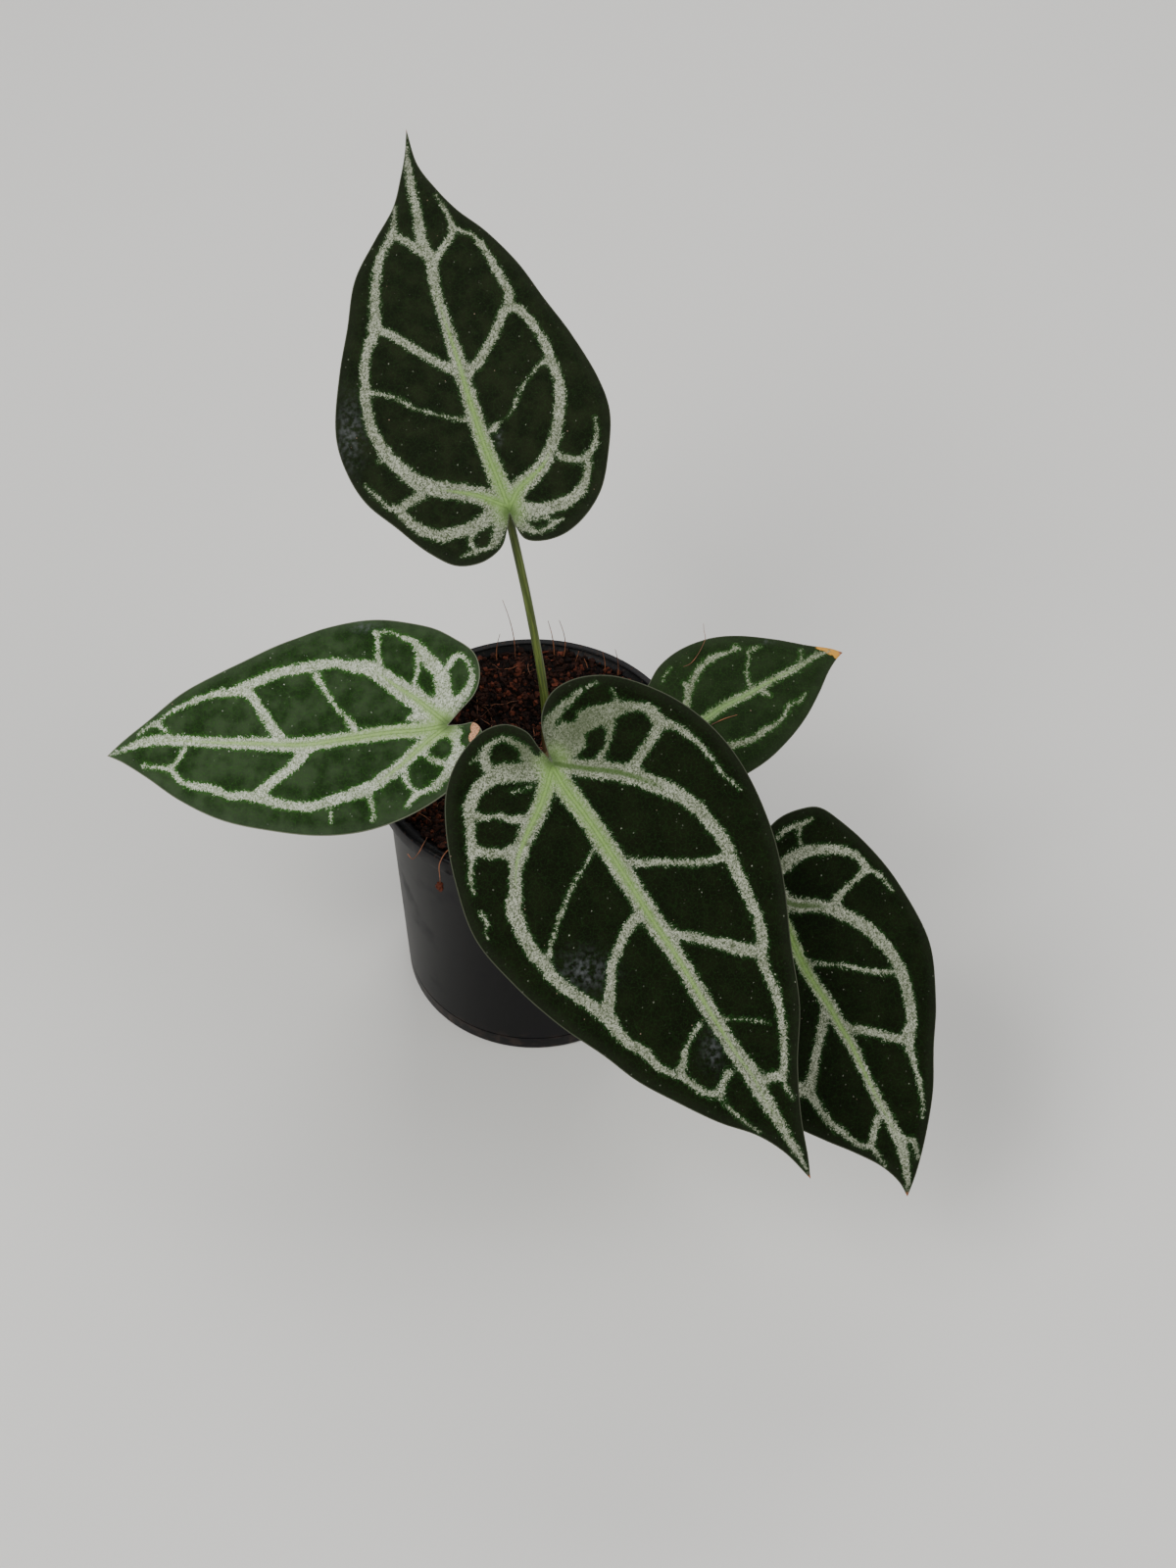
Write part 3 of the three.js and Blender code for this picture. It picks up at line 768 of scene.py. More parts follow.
@dataclass(frozen=True)
class VelvetFinish:
    """The velvet of a blade: dark cells, bands of silver granules, lime ribs, a matt underside and painted
    shade, sheen and glare.
    """

    name: str
    cell: Colour
    cell_light: Colour
    fringe: Colour
    silver: Colour = (178, 181, 161)
    silver_shade: Colour = (70, 80, 54)
    lime: Colour = (122, 154, 82)
    lime_bright: Colour = (142, 176, 94)
    # Painted shade: beside the raised ribs, along the shaded rib and in the hub's notch.
    painted_rib_shade: Colour = (66, 90, 42)
    # Painted sheen: the greyer zone along the margin where the blade turns away.
    margin: Colour = (38, 42, 31)
    margin_line: Colour = (84, 88, 72)
    under: Colour = (112, 128, 82)
    under_shade: Colour = (94, 112, 66)
    under_vein: Colour = (150, 160, 108)
    # Painted glare: a pale patch that stands in for light reflected off the velvet.
    mealy: Colour = (102, 104, 106)
    dust: Colour = (132, 112, 96)
    tan: Colour = (208, 160, 124)
    brown: Colour = (140, 84, 50)
    yellow: Colour = (206, 150, 66)
    tip_brown_mm: float = 1.2
    granule_mm: float = 0.42
    net_mm: float = 2.1
    edge_softness_mm: float = 0.1

    def upper(self) -> Material:
        """Makes the upper face's material.

        Returns:
            The material, which reads the numbers that the blade writes on its corners.
        """
        s = Shader(f"{self.name}_upper")
        granule = s.cells(self.granule_mm, output="Color")
        edge = self.ragged_edge(s)
        band = s.step(edge, self.edge_softness_mm, -self.edge_softness_mm)
        silver = s.math("MAXIMUM", band, s.step(granule, 0.93, 1.03))
        colour = s.mix(silver, self.cell_colour(s, edge), self.silver_colour(s, granule))
        colour = self.with_marks(s, self.with_margin(s, colour), silver)
        velvet = s.math("MULTIPLY_ADD", s.math("MULTIPLY", silver, granule), 0.8, s.grain(0.22, 1.0))
        roughness = s.math("MULTIPLY_ADD", silver, -0.12, 0.72)
        return s.close(colour, roughness, s.raised(velvet, 0.06, 0.6), specular=0.04, sheen=0.006)

    @staticmethod
    def ragged_edge(s: Shader) -> Socket:
        """Roughens the bands' edges by grain and by fine slanting teeth.

        Args:
            s: The upper face's nodes.

        Returns:
            The distance to the nearest band's edge.
        """
        edge = s.value_of("silver_edge")
        slant = s.math("MULTIPLY_ADD", s.math("ABSOLUTE", edge), -0.9, s.value_of("vein_run"))
        inputs = {"X": s.math("MULTIPLY", slant, 1.9), "Y": s.math("MULTIPLY", edge, 0.4)}
        at = s.node("ShaderNodeCombineXYZ", inputs)
        teeth = s.outlet_of(s.node("ShaderNodeTexNoise", {"Vector": at, "Scale": 1.0, "Detail": 2.0}), "Fac")
        for grain, reach in ((s.grain(0.5), 2.4), (s.grain(1.3), 1.7), (s.grain(3.5), 1.4), (teeth, 3.4)):
            edge = s.math("ADD", edge, s.math("MULTIPLY_ADD", grain, reach, -reach / 2))
        return edge

    def silver_colour(self, s: Shader, granule: Any) -> Socket:
        """Colours the bands: bright and dark granules, lime at the hub and along the main ribs, and painted
        shade.

        Args:
            s: The upper face's nodes.
            granule: A random value for each granule.

        Returns:
            The colour.
        """
        clustered = s.math("MULTIPLY_ADD", s.grain(0.5), 0.6, granule)
        silver = s.mix(s.step(clustered, 0.35, 1.25), self.silver_shade, self.silver)
        silver = s.mix(s.step(s.grain(9.0), 0.3, 0.7, 0.3), silver, self.silver_shade)
        # Painted shade: the silver darkens towards its dark granules where the mark of painted shade lies.
        silver = s.mix(s.math("MULTIPLY", s.value_of("dim"), 0.75), silver, self.silver_shade)
        silver = s.mix(s.step(s.value_of("hub_gap"), 9.0, 1.0, 0.6), silver, self.lime)
        strength = s.value_of("rib_lime")
        gap = s.math("MULTIPLY_ADD", s.grain(0.6), 0.5, s.value_of("rib_gap"))
        raised = s.math("MAXIMUM", strength, 0.0)
        reach = s.math("MULTIPLY_ADD", s.math("POWER", raised, 2.0), 4.0, 1.0)
        glow = s.math("MULTIPLY", s.step(gap, reach, 0.1, 0.85), s.step(strength, 0.0, 0.4))
        silver = s.mix(glow, silver, self.lime)
        # Painted shadow: a darker line beside each raised rib.
        beside = s.math("ABSOLUTE", s.math("SUBTRACT", gap, 0.9))
        silver = s.mix(s.math("MULTIPLY", s.step(beside, 0.3, 0.05, 0.4), raised), silver, self.painted_rib_shade)
        silver = s.mix(s.math("MULTIPLY", s.step(gap, 0.65, 0.4, 0.35), raised), silver, self.lime_bright)
        # Painted shade along the shaded rib's groove and in the notch at the hub.
        shaded_groove = s.math("MULTIPLY", s.step(gap, 1.7, 0.6, 0.85), s.step(strength, -0.1, -0.5))
        notch_shade = s.step(s.value_of("hub_gap"), 4.5, 0.5, 0.6)
        return s.mix(s.math("MAXIMUM", shaded_groove, notch_shade), silver, self.painted_rib_shade)

    def cell_colour(self, s: Shader, edge: Any) -> Socket:
        """Colours the dark velvet, greener right beside the bands, with a faint net of finest veins.

        Args:
            s: The upper face's nodes.
            edge: The distance to the nearest band's edge.

        Returns:
            The colour.
        """
        cell = s.mix(s.step(s.grain(7.0, 3.0), 0.35, 0.7), self.cell, self.cell_light)
        cell = s.mix(s.step(s.grain(0.6, 2.0), 0.5, 0.75, 0.35), cell, self.fringe)
        cell = s.mix(s.step(s.cells(self.net_mm, "DISTANCE_TO_EDGE"), 0.09, 0.0, 0.2), cell, self.fringe)
        return s.mix(s.step(edge, 1.2, 0.1, 0.9), cell, self.fringe)

    def with_margin(self, s: Shader, colour: Any) -> Socket:
        """Adds the greyer zone of painted sheen and the thin pale line at the margin.

        Args:
            s: The upper face's nodes.
            colour: The colour so far.

        Returns:
            The colour.
        """
        gap = s.value_of("margin_gap")
        # Painted sheen: the zone near the margin turns greyer, standing in for the velvet's sheen.
        colour = s.mix(s.step(gap, 5.0, 0.6, 0.35), colour, self.margin)
        return s.mix(s.step(gap, 0.5, 0.15, 0.8), colour, self.margin_line)

    def with_marks(self, s: Shader, colour: Any, silver: Any) -> Socket:
        """Adds patches of painted glare, specks of dust, the yellowed and dried places and the tip.

        Args:
            s: The upper face's nodes.
            colour: The colour so far.
            silver: Where the bands are.

        Returns:
            The colour.
        """
        fine = s.grain(0.45)
        # Painted glare: soft pale patches where the glare marks lie, standing in for reflected light.
        glare_mask = s.math("MULTIPLY", s.value_of("mealy"), s.step(s.grain(1.8, 6.0), 0.36, 0.74, 0.55))
        colour = s.mix(glare_mask, colour, self.mealy)
        specks = s.math("MULTIPLY", s.step(s.cells(6.0), 0.045, 0.03), s.step(s.grain(30.0), 0.45, 0.55))
        colour = s.mix(specks, colour, self.dust)
        rough = s.math("MULTIPLY_ADD", fine, 0.4, -0.2)
        yellowed = s.step(s.math("ADD", s.value_of("yellowed"), rough), 0.3, 0.5, 0.95)
        under_silver = s.math("MULTIPLY_ADD", silver, -0.65, 1.0)
        colour = s.mix(s.math("MULTIPLY", yellowed, under_silver), colour, self.yellow)
        withered = s.mix(s.step(fine, 0.52, 0.66), self.tan, self.brown)
        colour = s.mix(s.step(s.math("ADD", s.value_of("dried"), rough), 0.4, 0.5), colour, withered)
        tip = s.math("MULTIPLY_ADD", s.grain(2.0), 2.0, s.math("ADD", s.value_of("tip_gap"), -1.0))
        return s.mix(s.step(tip, self.tip_brown_mm + 0.8, self.tip_brown_mm - 0.6), colour, self.brown)

    def lower(self) -> Material:
        """Makes the underside's material.

        Returns:
            The material: matt pale green with lighter raised veins.
        """
        s = Shader(f"{self.name}_lower")
        green = s.mix(s.step(s.grain(6.0, 3.0), 0.35, 0.7), self.under, self.under_shade)
        net = s.step(s.cells(self.net_mm, "DISTANCE_TO_EDGE"), 0.12, 0.0, 0.35)
        green = s.mix(net, green, self.under_vein)
        green = s.mix(s.step(s.value_of("silver_edge"), 0.8, -0.8, 0.8), green, self.under_vein)
        green = s.mix(s.step(s.value_of("yellowed"), 0.3, 0.5), green, self.yellow)
        tip = s.step(s.value_of("tip_gap"), self.tip_brown_mm + 0.8, self.tip_brown_mm - 0.6)
        dried = s.step(s.value_of("dried"), 0.35, 0.5)
        colour = s.mix(s.math("MAXIMUM", dried, tip), green, self.brown)
        relief = s.math("ADD", net, s.grain(0.3))
        return s.close(colour, 0.62, s.raised(relief, 0.08, 0.5), specular=0.3)


@dataclass
class LeafBlade:
    """One blade: its shape, the veins seen in the photograph, its marks and its finish.

    `ribs` and `bands` hold named veins as text of (x, y, width) in pixels of the photograph. `hidden`
    holds the ones that another blade hides there, as (across, along, width) in millimetres, and
    `marks` holds (x, y, reach across, reach down) in pixels.
    """

    name: str
    shape: BladeShape
    finish: VelvetFinish
    slot: Slot
    ribs: dict[str, str]
    bands: dict[str, str]
    hidden: dict[str, str] = field(default_factory=dict)
    marks: dict[MarkKind, str] = field(default_factory=dict)
    # The main rib that gets painted shade along it instead of lime.
    shaded_rib: str = ""
    spacing: float = 0.95
    thickness: float = 0.5
    rib_height: float = 0.8
    side_rib_height: float = 0.3
    groove_depth: float = 0.26
    crest_height: float = 0.24
    puff: float = 0.42
    lime_reach: float = 0.85
    run_shift: float = 61.7
    quick_coarseness: float = 1.7

    def vein_paths(self) -> Iterable[tuple[str, Rows]]:
        """Brings each vein onto the blade.

        Yields:
            Its name, and its rows of (across, along, half width) in the blade's plane.
        """
        for name, text in {**self.ribs, **self.bands}.items():
            pixels = evenly_spaced(smooth_curve(spots(text), 12), 1.3, 2)
            sideways = sideways_of(pixels[:, :2]) * pixels[:, 2:] / 2
            middle = self.shape.from_photo(pixels[:, :2])
            edges = [self.shape.from_photo(pixels[:, :2] + way * sideways) for way in (1, -1)]
            width = np.abs((sideways_of(middle) * (edges[0] - edges[1])).sum(axis=1))
            yield name, np.column_stack([middle, width / 2])
        for name, text in self.hidden.items():
            path = evenly_spaced(smooth_curve(spots(text), 12), 0.5, 2)
            path[:, 2] /= 2
            yield name, path

    def trace_veins(self) -> tuple[VeinNet, list[tuple[Rows, bool]]]:
        """Gathers the blade's veins.

        Returns:
            The net of veins, and each vein's middle line with whether it is a main rib.
        """
        length = self.shape.axes()[4]
        rows = []
        for number, (name, path) in enumerate(self.vein_paths()):
            run = run_length(path[:, :2])
            is_rib = name in self.ribs
            reach = length * (self.lime_reach if name == "midrib" else self.lime_reach * 0.3)
            # The shaded rib gets a negative strength, which paints shade along it instead of lime.
            strength = -1.0 if name == self.shaded_rib else float(is_rib)
            lime = strength * np.clip(1.1 - run / reach, 0, 1)
            rows.append((path, run + self.run_shift * number, lime, np.full(len(run), is_rib)))
        paths, *measures = zip(*rows)
        stack = np.vstack(paths)
        starts = np.cumsum([0] + [len(path) for path in paths[:-1]])
        net = VeinNet(stack[:, :2], stack[:, 2], *map(np.concatenate, measures), starts)
        return net, [(path[:, :2], bool(on_rib[0])) for path, *_, on_rib in rows]

    def plane_mesh(self, lines: list[tuple[Rows, bool]]) -> tuple[Rows, Rows, Rows]:
        """Splits the blade's plane into fine triangles that follow its margin and its veins.

        Args:
            lines: Each vein's middle line, and whether it is a main rib.

        Returns:
            The points, the triangles and the points of the margin in order.
        """
        spacing = self.spacing * 1.0
        outline = Outline(self.shape.margin(spacing * 0.9))
        loop = outline.loop
        sieve = PointSieve(spacing)
        sieve.offer(loop, 0.0)
        for line, is_rib in sorted(lines, key=lambda pair: not pair[1]):
            middle = evenly_spaced(line, spacing * 0.85, 2)
            sieve.offer(outline.well_inside(middle, 0.45 * spacing), 0.5 * spacing)
            for offset in (0.6, -0.6, 1.2, -1.2) if is_rib else ():
                beside = middle + offset * sideways_of(middle)
                sieve.offer(outline.well_inside(beside, 0.5 * spacing), 0.5 * spacing)
        low, high = loop.min(axis=0), loop.max(axis=0)
        for number, y in enumerate(np.arange(low[1], high[1], spacing * 0.866)):
            xs = np.arange(low[0] + (number % 2) * spacing / 2, high[0], spacing)
            row = np.stack([xs, np.full(len(xs), y)], axis=1)
            sieve.offer(outline.well_inside(row, 0.6 * spacing), 0.62 * spacing)
        points = [Vector(p) for p in sieve.kept]
        result = delaunay_2d_cdt(points, [], [list(range(len(loop)))], 1, 1e-7)
        flat = np.array([tuple(p) for p in result[0]])
        triangles = np.array([face for face in result[2] if len(face) == 3])
        place_of = {source: new for new, sources in enumerate(result[3]) for source in sources}
        a, b, c = (flat[triangles[:, k]] for k in range(3))
        turned = (b[:, 0] - a[:, 0]) * (c[:, 1] - a[:, 1]) < (b[:, 1] - a[:, 1]) * (c[:, 0] - a[:, 0])
        triangles[turned] = triangles[turned][:, ::-1]
        return flat, triangles, np.array([place_of[k] for k in range(len(loop))])

    def mark_values(self, flat: Rows, silver_edge: Rows) -> dict[str, Rows]:
        """Measures the points against the blade's marks.

        Args:
            flat: The points.
            silver_edge: Distance to the nearest band's edge, which the gaps in a band change.

        Returns:
            A value from 0 to 1 for each kind of mark, and `silver_edge` with the gaps cut out.
        """
        values = {kind.value: np.zeros(len(flat)) for kind in MarkKind if kind is not MarkKind.GAP}
        for kind, text in self.marks.items():
            for x, y, *reach in spots(text):
                centre, right, down = self.shape.from_photo(np.array([(x, y), (x + 1, y), (x, y + 1)]))
                to_pixels = np.linalg.inv(np.stack([right - centre, down - centre], axis=1))
                away = np.linalg.norm((flat - centre) @ to_pixels.T / np.array(reach), axis=1)
                if kind is MarkKind.GAP:
                    silver_edge = np.maximum(silver_edge, (1 - away) * min(reach) * PIXEL_MM)
                else:
                    values[kind.value] = np.maximum(values[kind.value], np.exp(-(away**2)))
        return {**values, "silver_edge": silver_edge}

    def build(self) -> None:
        """Makes the blade as one closed piece, which replaces its node."""
        net, lines = self.trace_veins()
        flat, triangles, rim = self.plane_mesh(lines)
        gaps = net.gaps(flat)
        broad_edge, spine, rib_gap = gaps.pop("broad_edge"), gaps.pop("spine"), gaps["rib_gap"]
        length = self.shape.axes()[4]
        margin_gap = Outline(flat[rim]).gaps(flat)
        taper = np.clip(1.05 - flat[:, 1] / length, 0.1, 1)
        inner = ramp(margin_gap, 0.0, 6.0)
        puff = self.puff * (1 - hump(np.maximum(broad_edge, 0), 4.0)) * inner
        groove = self.groove_depth * hump(rib_gap, 1.5) * taper
        ridge = self.crest_height * hump(rib_gap, 0.5) * taper - groove
        rib = self.rib_height * taper * hump(rib_gap, 1.1)
        side_rib = self.side_rib_height * hump(spine, 0.8)
        half = self.thickness / 2 * (0.6 + 0.4 * ramp(margin_gap, 0.0, 1.5))
        upper = self.shape.in_space(flat, half + puff + ridge)
        under_ribs = np.maximum(rib, side_rib) * ramp(margin_gap, 0.2, 2.0)
        lower = self.shape.in_space(flat, puff - half - under_ribs)
        values = {
            **gaps,
            **self.mark_values(flat, gaps["silver_edge"]),
            "margin_gap": margin_gap,
            "hub_gap": np.linalg.norm(flat, axis=1),
            "tip_gap": np.linalg.norm(flat - (0.0, length), axis=1),
        }
        count = len(flat)
        steps = zip(rim.tolist(), np.roll(rim, -1).tolist())
        wall = [(i, i + count, j + count, j) for i, j in steps]
        sides = np.vstack([triangles, triangles[:, ::-1] + count]).tolist()
        draft = MeshDraft(
            np.vstack([upper, lower]),
            [tuple(side) for side in sides] + wall,
            (self.finish.upper(), self.finish.lower()),
            [0] * len(triangles) + [1] * len(triangles) + [0] * len(wall),
            {name: np.tile(numbers, 2) for name, numbers in values.items()},
        )
        hand_over(draft.make(f"velvet_blade_{self.name}"), self.slot, f"leaf_blade_{self.name}")


@dataclass(frozen=True)
class StalkFinish:
    """Green stalks with brown streaks, redder at the foot and paler at the neck."""

    green: Colour = (62, 76, 28)
    light: Colour = (94, 108, 44)
    streak: Colour = (56, 46, 26)
    foot: Colour = (78, 50, 38)

    def material(self) -> Material:
        """Makes the stalks' material.

        Returns:
            The material, which reads how far along and round a stalk each corner lies.
        """
        s = Shader("stalk_skin")
        streak = s.streaks(0.35, 14.0)
        colour = s.mix(s.step(streak, 0.4, 0.65), self.green, self.light)
        colour = s.mix(s.step(s.streaks(0.25, 5.0), 0.56, 0.7, 0.55), colour, self.streak)
        colour = s.mix(s.step(s.cells(1.3), 0.16, 0.08, 0.5), colour, self.light)
        colour = s.mix(s.step(s.value_of("along"), 26.0, 4.0, 0.8), colour, self.foot)
        colour = s.mix(s.step(s.value_of("neck_gap"), 9.0, 3.0, 0.55), colour, self.light)
        relief = s.math("ADD", streak, s.math("MULTIPLY", s.grain(0.3), 0.5))
        roughness = s.math("MULTIPLY_ADD", streak, 0.2, 0.34)
        return s.close(colour, roughness, s.raised(relief, 0.12, 0.5), specular=0.4)


@dataclass(frozen=True)
class StemSize:
    """The short upright stem in the middle of the pot."""

    centre: Point2 = (8.0, -1.0)
    foot: float = 88.0
    top: float = 123.5
    radius: float = 5.8


@dataclass
class LeafStalk:
    """A stalk from the stem to the underside of its blade.

    `hidden_foot` and `leaving` say how far from the stem's middle, and over the base's height, the
    stalk starts and leaves the stem.
    """

    name: str
    blade: BladeShape
    base_angle_deg: float
    base_height: float
    bends: tuple[Point3, ...]
    stem: StemSize = StemSize()
    hidden_foot: Point2 = (3.2, -4.0)
    leaving: Point2 = (8.5, 5.0)
    radius: float = 1.6
    base_radius: float = 2.5
    neck_radius: float = 2.1
    base_length: float = 16.0
    neck_length: float = 9.0
    neck_inset: float = 0.6
    neck_sink: float = 0.7
    steps: int = 130
    sides: int = 24

    def path(self) -> Rows:
        """Leads the stalk from the stem's side through its bends.

        Returns:
            Evenly spaced points, up to the blade's underside.
        """
        angle = math.radians(self.base_angle_deg)
        outward = np.array([math.cos(angle), math.sin(angle)])
        centre = np.array(self.stem.centre)
        places = (self.hidden_foot, self.leaving)
        start, leaving = ([*(centre + out * outward), self.base_height + rise] for out, rise in places)
        origin, _, along, up, _ = self.blade.axes()
        lift = float(self.blade.lift(np.zeros((1, 2)))[0])
        end = origin + along * (self.neck_radius + self.neck_inset) + up * (lift - self.neck_sink)
        neck = end - up * (self.neck_length * 0.6 + 1.1)
        curve = smooth_curve([start, leaving, *self.bends, neck, end])
        return evenly_spaced(curve, run_length(curve)[-1] / self.steps, 3)

    def radii(self, run: Rows) -> Rows:
        """Works out how thick the stalk is: thicker at the foot and at the neck.

        Args:
            run: Distances from its foot.

        Returns:
            One radius a distance.
        """
        from_base = np.maximum(1 - run / self.base_length, 0)
        from_neck = np.maximum(1 - (run[-1] - run) / self.neck_length, 0)
        swell = np.maximum(np.sin(np.pi * np.minimum(from_neck + 0.25, 1)), 0) * (from_neck > 0)
        thin = self.radius + (self.base_radius - self.radius) * from_base
        return thin + (self.neck_radius - self.radius) * swell * ramp(from_neck, 0.0, 0.35)

    def build(self, finish: Material) -> None:
        """Makes the stalk, which replaces its node.

        Args:
            finish: The stalks' material.
        """
        path = self.path()
        line = with_round_ends(path, self.radii(run_length(path)))
        stalk = tubes(f"stalk_{self.name}", [line], self.sides, finish)
        hand_over(stalk, Slot.STALK, f"leaf_stalk_{self.name}")


def tube_recipe() -> GeometryRecipe:
    """Tubes along curves: stalks, roots and fibres. Each curve's own radius gives its thickness.

    Returns:
        The recipe. It writes `share` and `along` (in millimetres) from a curve's start, `neck_gap` to
        its end, and `ring`, the place round it.
    """
    recipe = GeometryRecipe("tube_along_path")
    sides, finish = recipe.sizes({"Sides": "Int", "Finish": "Material"})
    place = recipe.node("GeometryNodeSplineParameter")
    length = recipe.outlet_of(recipe.node("GeometryNodeSplineLength"), "Length")
    along = recipe.outlet_of(place, "Length")
    left = recipe.math("SUBTRACT", length, along)
    curve = recipe.marked(recipe.geometry, "share", recipe.outlet_of(place, "Factor"))
    curve = recipe.marked(curve, "along", recipe.math("MULTIPLY", along, 1 / MM))
    curve = recipe.marked(curve, "neck_gap", recipe.math("MULTIPLY", left, 1 / MM))
    ring = recipe.node("GeometryNodeCurvePrimitiveCircle", {"Resolution": sides, "Radius": 1.0})
    ring = recipe.marked(ring, "ring", recipe.node("GeometryNodeInputPosition"), "FLOAT_VECTOR")
    tube = recipe.node("GeometryNodeCurveToMesh", {"Curve": curve, "Profile Curve": ring, "Fill Caps": True})
    if "Scale" in tube.inputs:
        recipe.feed(tube.inputs["Scale"], recipe.node("GeometryNodeInputRadius"))
    recipe.end(recipe.node("GeometryNodeSetShadeSmooth", {"Geometry": tube}), finish)
    return recipe


def tubes(name: str, threads: Iterable[Thread], sides: int, finish: Material) -> Object:
    """Grows a tube along each thread, with the tube recipe.

    Args:
        name: Name of the piece.
        threads: The middle lines and radii.
        sides: Sides of a tube.
        finish: Its material.

    Returns:
        The tubes as one plain mesh.
    """
    data = bpy.data.curves.new(f"{name}_lines", "CURVE")
    data.dimensions = "3D"
    for path, radii in threads:
        spline = data.splines.new("POLY")
        spline.points.add(len(path) - 1)
        spline.points.foreach_set("co", np.column_stack([path * MM, np.ones(len(path))]).ravel())
        spline.points.foreach_set("radius", np.asarray(radii) * MM)
    return tube_recipe().grow(placed(f"{name}_lines", data), name, {"Sides": sides, "Finish": finish})


def with_round_ends(path: Rows, radii: Rows) -> Thread:
    """Adds a few narrowing rings at each end of a stalk.

    Args:
        path: The stalk's middle line.
        radii: Its radius at each point.

    Returns:
        The longer path and its radii.
    """
    turns = np.radians([88, 60, 30])
    ends = []
    for end, inner in ((0, 1), (-1, -2)):
        outward = path[end] - path[inner]
        outward = outward / np.linalg.norm(outward)
        centres = path[end] + outward * radii[end] * 0.6 * np.sin(turns)[:, None]
        ends.append((centres, radii[end] * np.cos(turns)))
    (start, start_radii), (stop, stop_radii) = ends
    return np.vstack([start, path, stop[::-1]]), np.concatenate([start_radii, radii, stop_radii[::-1]])


def turned_on_axis(profile: Rows, segments: int, centre: Point2 = (0.0, 0.0)) -> MeshDraft:
    """Turns a profile about an upright axis.

    Args:
        profile: Rows of (radius, height) from one end on the axis to the other, the solid on its left.
        segments: How many steps round.
        centre: Where the axis stands.

    Returns:
        A closed draft whose faces point outwards.
    """
    angles = 2 * np.pi * np.arange(segments) / segments
    middle = profile[1:-1]
    sides = [at + middle[:, :1] * turn(angles) for at, turn in zip(centre, (np.cos, np.sin))]
    rings = np.stack([*sides, np.repeat(middle[:, 1:], segments, axis=1)], axis=2).reshape(-1, 3)
    ends = np.array([[*centre, profile[0, 1]], [*centre, profile[-1, 1]]])
    first, last = len(rings), len(rings) + 1
    top = (len(middle) - 1) * segments
    faces: list[tuple[int, ...]] = []
    for j in range(segments):
        k = (j + 1) % segments
        faces.append((first, k, j))
        for low in range(0, top, segments):
            high = low + segments
            faces.append((low + j, low + k, high + k, high + j))
        faces.append((last, top + j, top + k))
    return MeshDraft(np.vstack([rings, ends]), faces)


@dataclass(frozen=True)
class RootSize:
    """Thick roots that leave the stem all round and run down through the soil.

    `bends` says how far out, how far down and how far round a root is at each of its bends.
    """

    count: int = 7
    start_height: float = 97.0
    rise: float = 2.1
    start_radius: float = 1.7
    end_radius: float = 1.0
    end_height: float = 16.0
    spread: float = 43.0
    turn: float = 2.4
    bends: str = "0,0,0 0.38,0.1,0.2 0.78,0.34,0.7 1,0.66,1 0.92,1,1.6"
    seed: int = 11

    def threads(self, stem: StemSize) -> Iterable[Thread]:
        """Grows the roots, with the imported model's own random numbers.

        Args:
            stem: The stem that they leave.

        Yields:
            Each root's path and radii.
        """
        state = self.seed
        draws = []
        for _ in range(3 * self.count):
            state = (state * 1664525 + 1013904223) % 2**32
            draws.append(state / 2**32)
        for k in range(self.count):
            first, second, third = draws[3 * k : 3 * k + 3]
            angle = k * self.turn + 0.3 * first
            start = self.start_height + self.rise * (k % 3)
            reach = self.spread * (0.8 + 0.2 * second)
            swing = 0.5 * (third - 0.5)
            points = [
                (
                    stem.centre[0] * (1 - down) + out * reach * math.cos(angle + swing * turn),
                    stem.centre[1] * (1 - down) + out * reach * math.sin(angle + swing * turn),
                    start + (self.end_height - start) * down,
                )
                for out, down, turn in spots(self.bends)
            ]
            path = evenly_spaced(smooth_curve(points), 2.5, 3)
            share = np.linspace(0, 1, len(path))
            knobs = 0.08 * np.sin(share * 60 + k) * np.sin(share * 23)
            yield path, self.start_radius + (self.end_radius - self.start_radius) * share + knobs


@dataclass(frozen=True)
class StemFinish:
    """Green-brown stem skin and pale tan roots."""

    skin: Colour = (96, 98, 50)
    scar: Colour = (92, 68, 44)
    root: Colour = (176, 156, 120)
    root_tip: Colour = (206, 194, 160)
    rings_per_metre: float = 1600.0

    def stem(self) -> Material:
        """Makes the stem's material.

        Returns:
            The material, with brown scar rings.
        """
        s = Shader("stem_skin")
        height = s.outlet_of(s.node("ShaderNodeSeparateXYZ", {"Vector": s.place}), "Z")
        turn = s.math("MULTIPLY", height, self.rings_per_metre)
        rings = s.math("SINE", s.math("MULTIPLY_ADD", s.grain(3.0), 3.0, turn))
        colour = s.mix(s.step(rings, 0.2, 0.9, 0.8), self.skin, self.scar)
        colour = s.mix(s.step(s.grain(0.8, 3.0), 0.5, 0.7, 0.5), colour, self.scar)
        relief = s.math("MULTIPLY_ADD", rings, 0.5, s.grain(0.5))
        return s.close(colour, 0.6, s.raised(relief, 0.2, 0.6))

    def roots(self) -> Material:
        """Makes the roots' material.

        Returns:
            The material, paler towards their tips and rough with fine hairs.
        """
        s = Shader("root_skin")
        colour = s.mix(s.value_of("share"), self.root, self.root_tip)
        colour = s.mix(s.step(s.grain(0.9, 3.0), 0.48, 0.7, 0.7), colour, self.scar)
        return s.close(colour, 0.8, s.raised(s.grain(0.4, 3.0), 0.25, 0.7))


